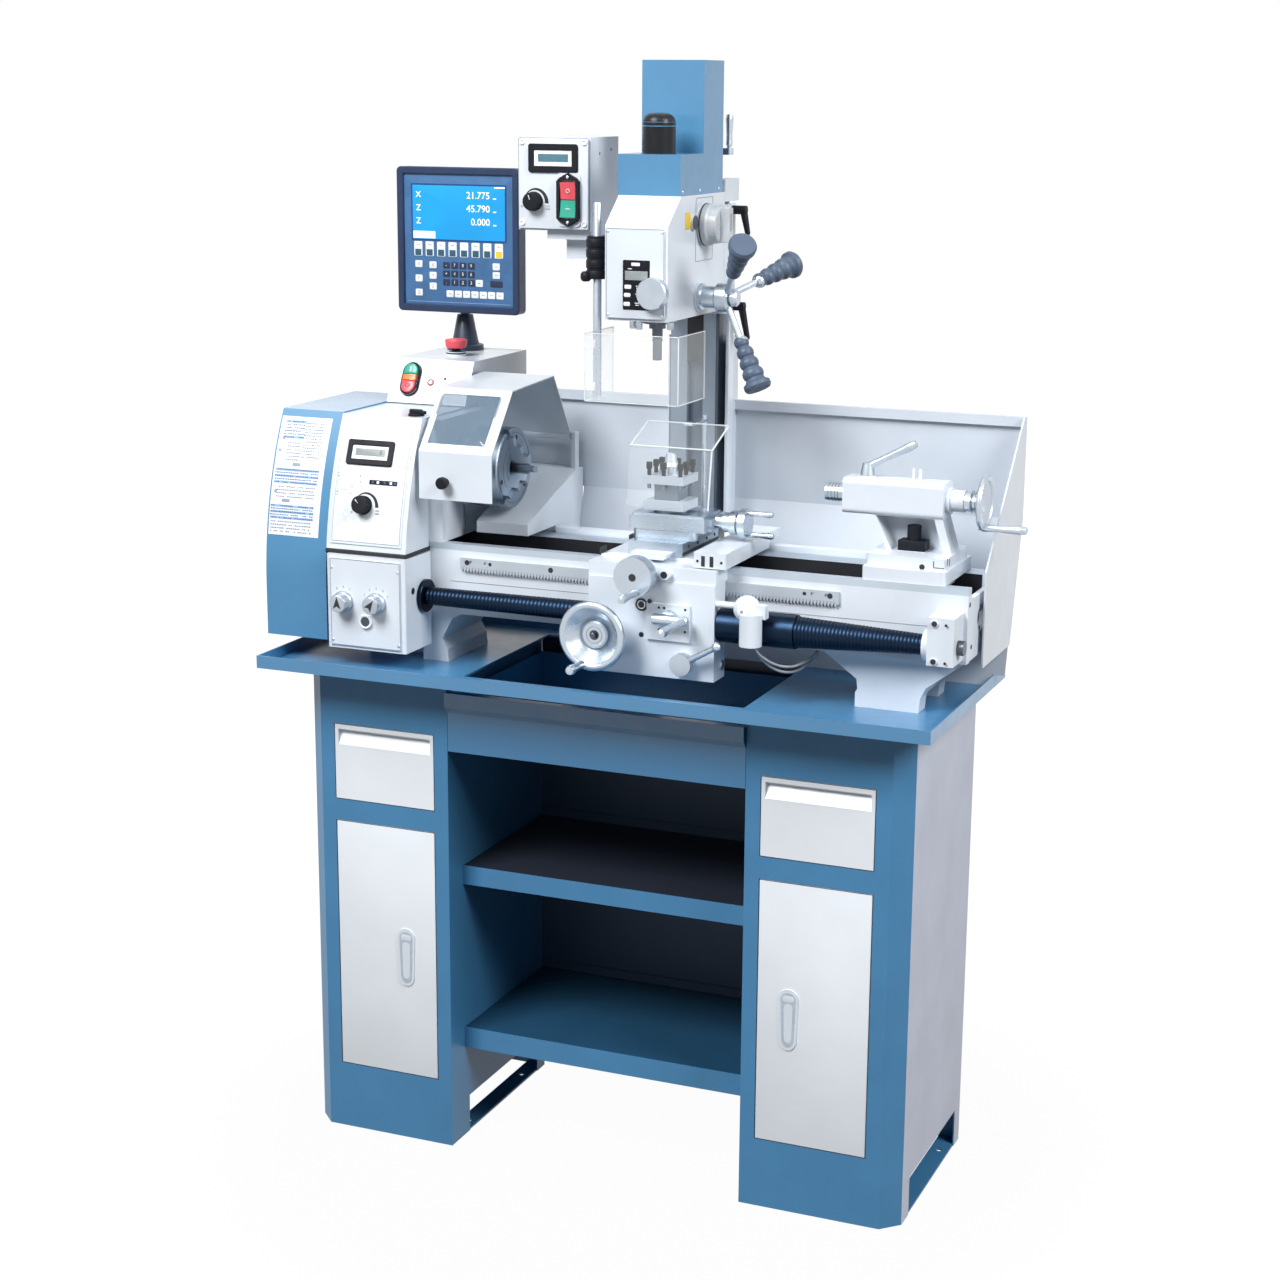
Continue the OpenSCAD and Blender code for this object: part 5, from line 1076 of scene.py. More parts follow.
class LATHEMILL_OT_switches(bpy.types.Operator):
    """Twin button, stop mushroom and lamps on the switch box"""
    bl_idname = "lathe_mill.switches"
    bl_label = "Switch box"

    def execute(self, context):
        spot = sloped(-497, 48)
        build("twin_button_case", frame_of(38, 68, 4.4, 6.6, spot, 18.5, 1.6), "black_abs")
        for name, key, low, high in (("start_button_cap", "start_green", 8, 29.5),
                                     ("stop_button_cap", "stop_red", -29.5, -5),
                                     ("run_lamp", "lamp_orange", -4.6, 7.4)):
            outline = rounded_outline(28.6, 59, 14, 12)
            outline = outline[(outline[:, 1] >= low) & (outline[:, 1] <= high)]
            edge = []
            for h in (low, high):
                if abs(h) < 29:
                    past = max(abs(h) - 15.5, 0) / 14
                    half = 14 * math.sqrt(1 - past ** 2) if past else 14.3
                    edge += [(-half, h), (half, h)]
            outline = np.array(outline.tolist() + edge)
            middle = outline.mean(0)
            order = np.argsort(np.arctan2(outline[:, 1] - middle[1], outline[:, 0] - middle[0]))
            outline = outline[order]
            rows = [np.column_stack([middle + (outline - middle) * s, np.full(len(outline), h)])
                    for s, h in ((1, 2), (1, 8.6), (0.96, 10.0), (0.88, 10.7), (0.6, 11.1))]
            body = "start_button" if "start" in name else "stop_button"
            build(name, sheet_of(into(np.array(rows), spot), True), key, body,
                  replaces=(body,) if "button" in name else ())
        build("start_mark", slab(2.2, 10, 0.4, into_frame(spot, (0, 17.5, 11.0)), 0.5, 0.1), "white_abs",
              "start_button")
        build("stop_mark", ring(4, 0.6, into_frame(spot, (0, -15.5, 11.2)), 0, 32, 8), "stop_mark",
              "stop_button")
        lamp = sloped(-454, 44)
        build("supply_lamp_bezel", ring(5.2, 1.5, lamp, 0.8, 40, 12), "dark_red")
        build("supply_lamp_lens", turned([(4.6, -0.5), (4.6, 1), (3.5, 2.2), (0, 2.8)], lamp, 32),
              "white_abs")
        build("switch_box_dot", turned([(0, 0.5), (2.6, 0.5), (2.6, -0.5), (0, -0.5)], sloped(-425, 53),
                                       24), "black_ink")
        stop = top(-446, 143, 1485)
        build("stop_mushroom", turned([(0, 17.5), (9, 17.5), (10, 16), (17, 16), (19, 17), (20.5, 20),
                                       (21.3, 27), (21.8, 30.5), (20.6, 32.4), (14, 33.4), (0, 33.8)], stop,
                                      64), "stop_red_matt", "emergency_stop", replaces=("emergency_stop",))
        build("stop_neck", turned([(0, -12), (8.8, -12), (8.8, 16.5), (0, 16.5)], stop, 48), "black_abs",
              "emergency_stop")
        build("stop_collar", turned([(9.3, 0), (9.3, 9.2), (14, 9.2), (17, 8.4), (19.4, 7.4), (19.6, 5.4),
                                     (18.4, 4.6), (18.6, 0)], stop, 64), "black_abs")
        foot = top(-483, 256, 1485)
        build("readout_stand", turned([(0, -0.3), (36.2, -0.3), (36.6, 0.6), (36.6, 9.5), (34.5, 11.2),
                                       (30, 11.6), (27.8, 12), (25.5, 20), (15.8, 69), (15.2, 70.2),
                                       (9.6, 71), (9.5, 118), (0, 118)], foot, 64), "stand_black")
        build("readout_fork", joined(box((-503.4, -462.6), (245.6, 266.4), (1602.6, 1613.4), 1.2),
                                     *[box((-483 + s * 16 - 4.4, -483 + s * 16 + 4.4), (245.6, 266.4),
                                           (1611, 1647.4), 1.5) for s in (-1, 1)],
                                     *[hexagon(13, 5, axes((-483 + s * 20.4, 256, 1635), (0, 1, 0),
                                                           (0, 0, s))) for s in (1, -1)]), "stand_black")
        return {"FINISHED"}


class LATHEMILL_OT_readout(bpy.types.Operator):
    """Screen, figures and keys of the digital readout"""
    bl_idname = "lathe_mill.readout"
    bl_label = "Digital readout"

    def execute(self, context):
        face = 206.0
        def at(x, z, proud=0.0):
            return front(x, face - proud, z)
        build("readout_film", slab(238.4, 253.4, 0.4, at(-470.5, 1703), 3.6, 0.2), "face_blue",
              "readout_display")
        build("readout_case_edge", frame_of(265.8, 280.8, 14.2, 5.2, at(-470.5, 1703), 9.6, 2.2),
              "navy_abs", "readout_display")
        build("readout_lower_line", slab(226, 1.0, 0.3, at(-470.5, 1582, 0.4), 0.4, 0.1), "pale_line",
              "readout_display")
        build("readout_screen_edge", frame_of(207, 110, 3.0, 0.8, at(-469.6, 1756.2, 0.4), 1.5, 0.3),
              "screen_dark", "readout_display")
        build("readout_screen", slab(202, 105, 0.5, at(-469.6, 1756.2, 0.4), 0.8, 0.2), "lit_screen",
              "readout_display")
        words = []
        for row, (letter, value) in enumerate((("X", "21.775"), ("Z", "45.790"), ("Z", "0.000"))):
            z = 1789.6 - 25.4 * row
            words.append(lettering(letter, 11.5, at(-557.4, z, 0.9), 0.15))
            words.append(lettering(value, 13.2, at(-401, z, 0.9), 0.15, "RIGHT"))
            words.append(slab(7, 2.2, 0.15, at(-391, z - 5, 0.9), 0.5, 0.05))
        words.append(slab(48, 13.5, 0.15, at(-545, 1712.4, 0.9), 0.6, 0.05))
        words.append(slab(23, 2.6, 0.15, at(-380.5, 1806, 0.9), 0.5, 0.05))
        build("readout_figures", joined(*words), "white_glow", "readout_display")
        soft_x = [-558.8 + 25.2 * i for i in range(8)]
        soft = [slab(18, 28.5, 0.9, at(x, 1685, 0.4), 2, 0.3) for x in soft_x]
        left = [(-558, z) for z in (1655.2, 1627.2, 1599.4)] + [(-526.8, z) for z in (1654, 1633.5, 1612.5)]
        left += [(-425.3, 1621.4), (-388.3, 1654.6),
                 (-388.3, 1638)] + [(-489.6 + 18.15 * i, 1598.8) for i in range(7)]
        soft += [slab(15.6, 13.4, 1.2, at(x, z, 0.4), 2, 0.4) for x, z in left]
        build("readout_light_keys", joined(*soft), "key_white", "readout_display")
        windows = [slab(13.4, 12.4, 0.3, at(x, 1678, 1.3), 0.8, 0.1) for x in soft_x]
        build("readout_key_windows", joined(*windows[:7]), "key_teal", "readout_display")
        build("readout_yellow_key", windows[7], "yellow_abs", "readout_display")
        pad = [(-497.5 + 18.2 * c, 1654.4 - 16.6 * r) for r in range(3) for c in range(4)]
        dark = [slab(14.2, 12.6, 1.2, at(x, z, 0.4), 1.6, 0.4) for x, z in pad]
        dark.append(slab(26, 12.2, 1.2, at(-388.5, 1621.3, 0.4), 1.6, 0.4))
        build("readout_dark_keys", joined(*dark), "key_navy", "readout_display")
        signs = "-789+456.123"
        build("readout_key_figures", joined(*[lettering(s, 6.2, at(x, z, 1.6), 0.1)
                                              for s, (x, z) in zip(signs, pad)]), "white_abs",
              "readout_display")
        build("readout_key_signs", joined(*[lettering(s, 6, at(x, z, 1.6), 0.1)
                                            for s, (x, z) in zip("XYZXYZ", left[:6])],
                                          *[slab(8, 1.2, 0.1, at(x, 1693, 1.3), 0.4, 0.05) for x in soft_x],
                                          *[slab(6, 1.4, 0.1, at(x, z, 1.6), 0.4, 0.05)
                                            for x, z in left[6:]]), "grey_ink", "readout_display")
        build("readout_back", joined(slab(236, 240, 3, rear(-470.5, 232, 1703), 12, 1.5),
                                     *[slab(150, 3, 1.2, rear(-470.5, 235, 1740 + 9 * i), 1.4, 0.5)
                                       for i in range(8)]), "navy_abs", "readout_display")
        build("readout_back_screws", joined(*[dome_screw(rear(x, 232, z), 4, 1.8) for x in (-594, -347)
                                              for z in (1572, 1834)]), "chrome", "readout_display")
        return {"FINISHED"}


class LATHEMILL_OT_mill_controls(bpy.types.Operator):
    """Lid, display, dial and switch of the milling head's control box"""
    bl_idname = "lathe_mill.mill_controls"
    bl_label = "Mill controls"

    def execute(self, context):
        lid = front(-169, -3, 1825.5)
        build("control_lid", slab(138, 161, 2.4, lid, 3, 0.9), "panel_grey", "mill_head")
        build("control_lid_seam", frame_of(141, 164, 1.4, 0.9, lid, 4, 0.2), "grey_ink", "mill_head")
        build("control_lid_screws", joined(*[cap_screw(front(x, -5.2, z), 5.6, 2.6) for x in (-231, -107)
                                             for z in (1755, 1900)]), "white_abs", "mill_head")
        spot = front(-168.6, -5.2, 1871.4)
        build("control_display_case", frame_of(98, 51, 11.5, 4.4, spot, 4.5, 1.3), "black_abs", "mill_head")
        build("control_display_mask", frame_of(77, 31, 8.5, 2.2, spot, 1.5, 0.3), "white_abs", "mill_head")
        build("control_display_glass", slab(61, 15, 1.2, spot, 0.8, 0.3), "teal_lcd", "mill_head")
        dial = front(-207, -5.4, 1794)
        build("control_scale", joined(wedge_arc(dial, (19, 20), (21.5, 29), 155, -8),
                                      lettering("50", 3.6, into_frame(dial, (-25, -10, 0)), 0.15),
                                      *[lettering(t, 3.2, into_frame(dial, (27, -9 - 5 * i, 0)), 0.15)
                                        for i, t in enumerate(("1250", "2500"))]), "black_ink", "mill_head")
        knob = front(-207, -3.3, 1794)
        build("control_knob", joined(knurled(16.2, 15, knob, 36, 0.45, 4.6),
                                     turned([(0, 2.4), (17.4, 2.4), (17.4, 4.4), (16.4, 5), (0, 5)], knob,
                                            64)), "black_abs", "mill_speed_knob",
              replaces=("mill_speed_knob",))
        build("control_knob_mark", turned_box(knob, 1.4, 9, 0.35, 19.5, (0, 8), 20), "white_abs",
              "mill_speed_knob")
        plate = front(-137, -7.9, 1798)
        outline = np.array([(0, -48), (17, -39), (22.8, -33), (22.8, 33), (17, 39), (0, 48), (-17, 39),
                            (-22.8, 33), (-22.8, -33), (-17, -39)])
        hole = np.array([(0, -34.8), (8, -34.8), (15.9, -34.8), (15.9, 34.8), (8, 34.8), (0, 34.8),
                         (-8, 34.8), (-15.9, 34.8), (-15.9, -34.8), (-8, -34.8)])
        rows = [np.column_stack([o, np.full(10, h)])
                for o, h in ((outline, -0.2), (outline, 5.0), (outline * 0.965, 6.4), (hole, 6.4),
                             (hole, -0.2), (outline, -0.2))]
        build("mill_switch_plate", sheet_of(into(np.array(rows), plate), True, (False, False)), "black_abs",
              "mill_head")
        build("mill_switch_screws", joined(*[dome_screw(into_frame(plate, (0, s * 40.5, 6.2)), 3, 1.2)
                                             for s in (1, -1)]), "chrome", "mill_head")
        for name, key, sign in (("mill_stop_key", "stop_red", 1), ("mill_start_key", "start_green", -1)):
            low, high = (0.8, 31.5) if sign > 0 else (-31.5, -0.8)
            crown = lambda h: 2.5 + 4.2 * (abs(h) / 31.5)
            section = [(low, -5.5), (high, -5.5), (high, crown(high)),
                       ((low + high) / 2, crown((low + high) / 2) - 1.0), (low, crown(low))]
            rows = [[(x, v, w) for v, w in section] for x in (-15.2, 15.2)]
            build(name, sheet_of(into(np.array(rows), plate), True), key, "mill_switch",
                  replaces=("mill_switch",) if sign > 0 else ())
        build("mill_switch_marks", joined(slab(9, 1.4, 0.3, into_frame(plate, (0, -16, 4.2)), 0.4, 0.1),
                                          ring(3.4, 0.5, into_frame(plate, (0, 16, 4.5)), 0, 24, 6)),
              "white_abs", "mill_switch")
        build("control_box_gland", joined(*[dome_screw(axes((-97, y, z), (0, 1, 0), (0, 0, 1)), 3, 1.2)
                                            for y, z in ((40, 1880), (92, 1886))]), "grey_ink", "mill_head")
        return {"FINISHED"}


class LATHEMILL_OT_cable(bpy.types.Operator):
    """The two braided cables of the carriage switch"""
    bl_idname = "lathe_mill.cable"
    bl_label = "Switch cables"

    def execute(self, context):
        for name, aside, sag, replaced in (("switch_cable", 0, 0, ("guard_cable",)),
                                           ("switch_cable_twin", 5.6, -11, ())):
            route = np.array(CABLE_ROUTE, float) + (0, aside, 0)
            route[:, 2] += sag * np.sin(np.pi * np.linspace(0, 1, len(route)))
            piece = build(name, swept(route, 2.5, 12, 1), "cable_braid", None, angle=60, replaces=replaced)
            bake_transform(piece)
        return {"FINISHED"}


class LATHEMILL_OT_screw_covers(bpy.types.Operator):
    """Telescopic spiral covers of the leadscrew"""
    bl_idname = "lathe_mill.screw_covers"
    bl_label = "Screw covers"

    def execute(self, context):
        for name, x, radii, rings, cap, fixed in (("left_screw_cover", (-359.5, -22.4), (16.9, 18.9), 44,
                                                   (-368.6, -360.0, 30.8), -369),
                                                  ("right_screw_cover", (366.1, 595.6), (27.6, 17.8), 34,
                                                   (222.4, 365.9, 30.6), 596)):
            step = (x[1] - x[0]) / rings
            profile = []
            for i in range(rings):
                near = radii[0] + (radii[1] - radii[0]) * i / rings
                start = x[0] + i * step
                profile += [(near - 0.6, start), (near, start + 0.25 * step), (near, start + 0.8 * step),
                            (near - 0.6, start + step - 0.1)]
            profile = [(12.4, x[0] + 0.1)] + profile + [(12.4, x[1] - 0.2)]
            spot = side(0, SCREW_Y, SCREW_Z)
            low, high, reach = cap
            collar = [(12.4, low), (reach - 1, low), (reach, low + 1), (reach, high - 1), (reach - 1, high),
                      (12.4, high)]
            piece = build(name + "_coil", joined(turned(profile, spot, 56), turned(collar, spot, 56)),
                          "spring_steel", None, replaces=(name,))
            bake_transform(piece)
        return {"FINISHED"}


class LATHEMILL_OT_stand_details(bpy.types.Operator):
    """Dark seam lines round the doors and drawers, painted shade of the gaps; shelf screws; and a dark sheet
    closing the back of the stand, its dark blue painted shade of the bay
    """
    bl_idname = "lathe_mill.stand_details"
    bl_label = "Stand details"

    def execute(self, context):
        for side_name, sign in (("left", -1), ("right", 1)):
            for part, width, height, line, z in (("door", 210.7, 497.8, 1.2, 381.8),
                                                 ("drawer", 211, 147.8, 1.0, 747.5)):
                spot = front(sign * DOOR_MIDDLE, DOOR_FRONT_Y, z)
                # Dark lines round the doors and drawers: painted shade of the gaps.
                build(f"{side_name}_{part}_gap", frame_of(width, height, line, 0.25, spot, 0.6, 0.1),
                      "seam_shadow", f"{side_name}_{part}")
        # A dark sheet closing the stand's back under the tray: its dark blue is painted shade of the bay.
        back = box((-294, 294), (209.6, 211.4), (760, 934), 0.5)
        build("stand_back_sheet", back, "back_coat")
        build("shelf_screws", joined(*[dome_screw(axes((sign * 294.6, y, z), (0, -sign, 0), (0, 0, 1)), 4.0,
                                                  1.8) for sign in (-1, 1) for y in (-122, 175)
                                       for z in (207, 540)]), "chrome")
        return {"FINISHED"}


class LATHEMILL_OT_bed_details(bpy.types.Operator):
    """Rack screws and root shadows, a side line, end and bracket screws, a block and a rod on the bed"""
    bl_idname = "lathe_mill.bed_details"
    bl_label = "Bed details"

    def execute(self, context):
        heads = [(x, 1136.6, 5) for x in (-291.8, -120.9, 415.2)] + [(x, 1136.8, 3.4)
                                                                     for x in (-244.3, 368.3)]
        build("rack_screws", joined(*[disc(front(x, -124.1, z), radius, 0.5, 0.4, 24)
                                      for x, z, radius in heads]), "black_ink")
        tooth = 6.28
        count = int((431 + 306 - 6) / tooth)
        build("rack_root_shadow", joined(*[box((428 - tooth * (i + 0.98), 428 - tooth * (i + 0.62)),
                                               (-124.35, -124.05), (1122.2, 1127.6), 0.1)
                                           for i in range(count)]), "grey_ink")
        build("bed_side_line", box((-330, 590), (-118.45, -118.1), (1097.6, 1098.8), 0.1), "grey_ink")
        end = [disc(side(661.1, y, z), r, 0.5, 0.4, 24)
               for y, z, r in ((-107, 1139.8, 4.5), (-88.8, 1061.9, 4.5), (-38.9, 1117.6, 3),
                               (-37.4, 1086.5, 3))]
        build("bed_end_screws", joined(*end), "black_ink")
        build("bed_block", box((-372, -346), (-92, -20), (1166, 1190), 2.5), "black_abs")
        build("guard_rod", swept([(-344, -28, 1226), (-341, -28, 1200), (-338, -28, 1176)], 1.6, 10, 3),
              "blued_steel")
        build("bracket_screws", joined(*[disc(front(x, -182.1, z), r, 0.6, 0.5, 24)
                                         for x, z, r in ((620, 1052, 5), (620, 1118, 5), (640.5, 1117, 2.6),
                                                         (640.5, 1051, 2.6))]), "black_ink")
        return {"FINISHED"}


class LATHEMILL_OT_mill_front(bpy.types.Operator):
    """Front plate, keys, drawbar cap and side marks of the milling head"""
    bl_idname = "lathe_mill.mill_front"
    bl_label = "Mill head details"

    def execute(self, context):
        face = -153.1
        build("head_plate_edge", frame_of(109, 155, 1.0, 0.3, front(55, face, 1682), 4.5, 0.1), "grey_ink",
              "mill_head")
        build("head_plate_screws", joined(*[dome_screw(front(x, face, z), 2.6, 1.0) for x in (4, 106)
                                            for z in (1610, 1754)]), "chrome", "mill_head")
        strip = front(57.7, face, 1662.8)
        build("key_panel", slab(50.4, 85.8, 0.8, strip, 2, 0.3), "key_panel", "mill_head")
        build("key_panel_display", slab(42.6, 15.8, 1.1, into_frame(strip, (0.2, 16.4, 0)), 0.8, 0.2),
              "grey_lcd", "mill_head")
        build("key_panel_keys", joined(*[slab(12.6, 7, 1.4, into_frame(strip, (x, z, 0)), 2.2, 0.3)
                                         for x, z in ((-15.5, -3.3), (-16.6, -17.5), (-17.4, -33))],
                                       slab(16, 5.6, 1.1, into_frame(strip, (-1.2, 35.8, 0)), 1.2, 0.2),
                                       *[slab(w, 1.5, 1.0, into_frame(strip, (x, z, 0)), 0.4, 0.1)
                                         for x, w, z in ((4, 9, -1.8), (4, 7, -5), (3, 9, -15.6),
                                                         (3, 6, -19), (2, 9, -31), (2, 7, -34.5),
                                                         (17, 5, 9), (-12, 8, 28))]), "white_abs",
              "mill_head")
        cap = top(MILL_X, MILL_Y, 1884)
        profile = [(0, 70.6), (10, 70.4), (17.6, 69), (23, 66.4), (26.8, 62), (28.9, 56), (29.3, 50),
                   (29.3, 49), (28.6, 48.4), (28.6, 47.6), (29.3, 47), (29.3, 2), (30.4, 0.5), (30.4, -0.5),
                   (0, -0.5)]
        build("drawbar_cap", turned(profile, cap, 72), "cap_black", "mill_head")
        collar = top(-35, -110, 1740)
        ribs = [(7.7, -72.5)]
        for i in range(4):
            foot = -72 + i * 18.5
            ribs += [(19.6, foot), (20.2, foot + 1), (20.2, foot + 13), (19.6, foot + 14),
                     (18.5, foot + 14.6), (18.5, foot + 18)]
        ribs += [(18.3, 2.3), (7.7, 2.3)]
        build("post_clamp", joined(turned(ribs, collar, 48),
                                   box((-46, -3.4), (-119.3, -100.7), (1683.6, 1726.4), 2)), "black_abs",
              "mill_head")
        build("post_clamp_knob", turned([(0, -9), (6, -8.6), (9.2, -5), (9.8, 0), (9.2, 5), (6, 8.6),
                                         (0, 9.2)], top(-51, -124, 1672), 32), "black_abs", "mill_head")
        build("head_side_label", slab(24, 30, 0.5, side(115.1, -58, 1770), 1, 0.1), "yellow_abs",
              "mill_head")
        build("sight_ring", turned([(0, 0.7), (5, 0.6), (7, 1.4), (9.6, 1.4), (10, 0.8), (12.2, 0.8),
                                    (12.6, 0), (0, -1)], side(121, -36, 1766), 40), "dark_glass",
              "mill_head")
        build("selector_plate", frame_of(84, 112, 1.2, 0.5, side(115.1, 22, 1752), 5, 0.1), "grey_ink",
              "mill_head")
        build("selector_dial", ring(36.6, 1.5, side(120.2, 19, 1760), 0.2, 72, 10), "black_ink",
              "mill_head")
        build("selector_arrow", slab(5, 30, 0.6, into_frame(side(167.3, 19, 1760), (0, 5, 0)), 1, 0.1),
              "grey_ink", "gear_selector")
        build("cover_screws", joined(*[dome_screw(side(113.1, y, 1820), 3.4, 1.4) for y in (-78, 4, 98)]),
              "chrome", "mill_head")
        build("nose_keys", joined(*[turned([(0, -16), (5.2, -16), (6, -14), (6, -3), (0, -3)],
                                           top(x, y, 1596), 20)
                                    for x, y in ((22, -82), (38, -92), (92, -78))]), "chrome", "mill_head")
        build("quill_scale_ring", turned([(24.2, 0), (26.8, 0), (26.8, 6), (24.2, 6)],
                                         top(MILL_X, MILL_Y, 1588.2), 48), "blued_steel", "mill_quill")
        build("arbor_rings", turned([(8.7, 0), (9.8, 0.4), (9.8, 3), (8.7, 3.4), (8.7, 0)],
                                    top(MILL_X, MILL_Y, 1556), 40), "blued_steel", "mill_spindle")
        # A black strip on the column under the head: painted shade of the gap between the head and the
        # column.
        build("column_slot", box((40.5, 71.5), (137.4, 138.2), (1500, 1600), 0.3), "black_ink")
        build("column_white_strip", box((114.4, 121), (142, 168), (1180, 1792), 1), "white_enamel")
        return {"FINISHED"}


class LATHEMILL_OT_guards(bpy.types.Operator):
    """Clear guards of the milling spindle and the tool post"""
    bl_idname = "lathe_mill.guards"
    bl_label = "Clear guards"

    def execute(self, context):
        z = (1455, 1575)
        sheets = [box((-43, 137), (-150, -146.4), z, 0.4), box((-43, -39.4), (-146.2, -22), z, 0.4),
                  box((133.4, 137), (-146.2, -22), z, 0.4)]
        build("spindle_guard_sheets", joined(*sheets), "clear_acrylic", "spindle_guard",
              replaces=("spindle_guard",))
        rims = []
        for level in z:
            rims += [box((-43.1, 137.1), (-150.1, -146.3), (level - 0.7, level + 0.7), 0.3),
                     box((-43.1, -39.3), (-150.1, -21.9), (level - 0.7, level + 0.7), 0.3),
                     box((133.3, 137.1), (-150.1, -21.9), (level - 0.7, level + 0.7), 0.3)]
        rims += [box((x - 0.8, x + 0.8), (y - 0.8, y + 0.8), z, 0.3)
                 for x, y in ((-42.3, -149.3), (136.3, -149.3), (-42.3, -22.8), (136.3, -22.8))]
        build("spindle_guard_edges", joined(*rims), "acrylic_edge", "spindle_guard")
        build("spindle_guard_post", turned([(0, 1460), (7.5, 1460), (7.5, 1799), (7, 1800), (0, 1800)],
                                           top(-35, -110, 0), 40), "chrome", "spindle_guard")
        build("spindle_guard_clips", joined(*[box((-40, -35), (-118, -102), (h, h + 16), 1.5)
                                              for h in (1469, 1545)]), "white_abs", "spindle_guard")
        line = np.array([(-128, 1270), (-112, 1376), (-30, 1409)], float)
        rims, shields = [], []
        for a, b in zip(line[:-1], line[1:]):
            way = (b - a) / np.linalg.norm(b - a)
            out = np.array([-way[1], way[0]]) * -4
            corners = [a, b, b + out, a + out]
            rows = [[(x, *c) for c in corners] for x in (30, 186)]
            shields.append(sheet_of(np.array(rows), True))
            for x in (186,) if way[1] > 0.9 else (30, 186):
                rims.append(swept([(x, *a + out / 2), (x, *b + out / 2)], 1.6, 8, 1))
        for p in line[1:]:
            rims.append(swept([(30, *p), (186, *p)], 1.4, 8, 1))
        build("chip_guard_sheets", joined(*shields), "post_sheet", "chip_guard", replaces=("chip_guard",))
        build("chip_guard_edges", joined(*rims), "acrylic_edge", "chip_guard")
        build("chip_guard_pillar", joined(turned([(0, 1205.3), (8, 1205.3), (8, 1217), (5, 1217.4),
                                                  (5, 1415), (0, 1415)], top(110, 50, 0), 32),
                                          box((101, 119), (-31, 50), (1404, 1408.6), 1)), "chrome",
              "chip_guard")
        return {"FINISHED"}


class LATHEMILL_OT_doors(bpy.types.Operator):
    """Pan doors with their lozenge latches"""
    bl_idname = "lathe_mill.doors"
    bl_label = "Doors"

    def execute(self, context):
        for side_name, sign, latch_x in (("left", -1, -388), ("right", 1, 384)):
            name = side_name + "_door"
            middle, low, high = sign * DOOR_MIDDLE, 132.8, 630.8
            back = front(middle, -190, (low + high) / 2)
            pan = joined(frame_of(210.9, 498, 2.4, 13.6, back, 1.2, 0.3),
                         box((middle - 105.4, middle + 105.4), (DOOR_FRONT_Y, -203.4), (low, high), 0.8))
            build(name + "_pan", pan, "front_white_coat", name, replaces=(name,))
            latch = front(latch_x, DOOR_FRONT_Y, 373)
            plate = tapered(37, 116, 18.4, 0.2, 10)
            dish = tapered(28, 104, 13.9, 0.24, 10)
            grip = tapered(17, 74, 8, 0.2, 8)
            build(name + "_latch_plate", prism(plate, latch, -0.4, 2.0), "latch_paint", name)
            # The latch dish's darker grey is painted shade of its recess.
            build(name + "_latch_dish", prism(dish, latch, 1.8, 2.3), "latch_shadow", name)
            build(name + "_latch_paddle",
                  joined(prism(grip + [0, -6], latch, 2.2, 2.5),
                         slab(22, 12, 0.4, latch, 5, 0.1, base=2.1, offset=(0, 40))), "latch_paint", name)
        return {"FINISHED"}


class LATHEMILL_OT_hood_and_chuck(bpy.types.Operator):
    """Window and knob of the chuck guard, marks of the chuck, screws of the tool post"""
    bl_idname = "lathe_mill.hood_and_chuck"
    bl_label = "Hood and chuck"

    def execute(self, context):
        low, high = np.array([-161, 1360.0]), np.array([-91, 1444.0])
        way = (high - low) / np.linalg.norm(high - low)
        pane = axes((-294, *(low + high) / 2 + np.array([-way[1], way[0]]) * -1.6), (1, 0, 0), (0, *way))
        build("hood_window_pane", slab(124, 110, 2, pane, 9, 0.4), "hood_window", "chuck_guard")
        knob = front(-309, -171, 1294)
        build("hood_knob", turned([(0, 23.2), (9, 23), (11, 21), (11.2, 13), (10, 10.6), (7, 10.2),
                                   (7, 0.2), (0, 0.2)], knob, 40), "black_abs", "chuck_guard")
        face = on_spindle(-240)
        build("chuck_face_rings", joined(*[ring(r, 0.5, face, 0.1, 72, 6) for r in (30, 46, 66)]),
              "blued_steel", "chuck")
        build("chuck_keys", joined(*[turned([(0, 0.7), (4.6, 0.7), (5, 0), (0, 0)],
                                            into_frame(face, (57 * math.cos(a), 57 * math.sin(a), 0)), 24)
                                     for a in np.radians((80, 200, 320))]), "black_ink", "chuck")
        shapes = []
        for i in range(4):
            a = math.radians(90 * i)
            for u in (-30, -2):
                x = 84 + u * math.cos(a) + 30 * math.sin(a)
                y = -48 + u * math.sin(a) - 30 * math.cos(a)
                shapes += [turned([(3.7, 1318.4), (3.7, 1331), (0, 1331), (0, 1318.4)], top(x, y, 0), 20),
                           box((x - 4.3, x + 4.3), (y - 4.3, y + 4.3), (1329.8, 1342.4), 0.6)]
        build("tool_screws", joined(*shapes), "black_abs", "tool_post")
        return {"FINISHED"}


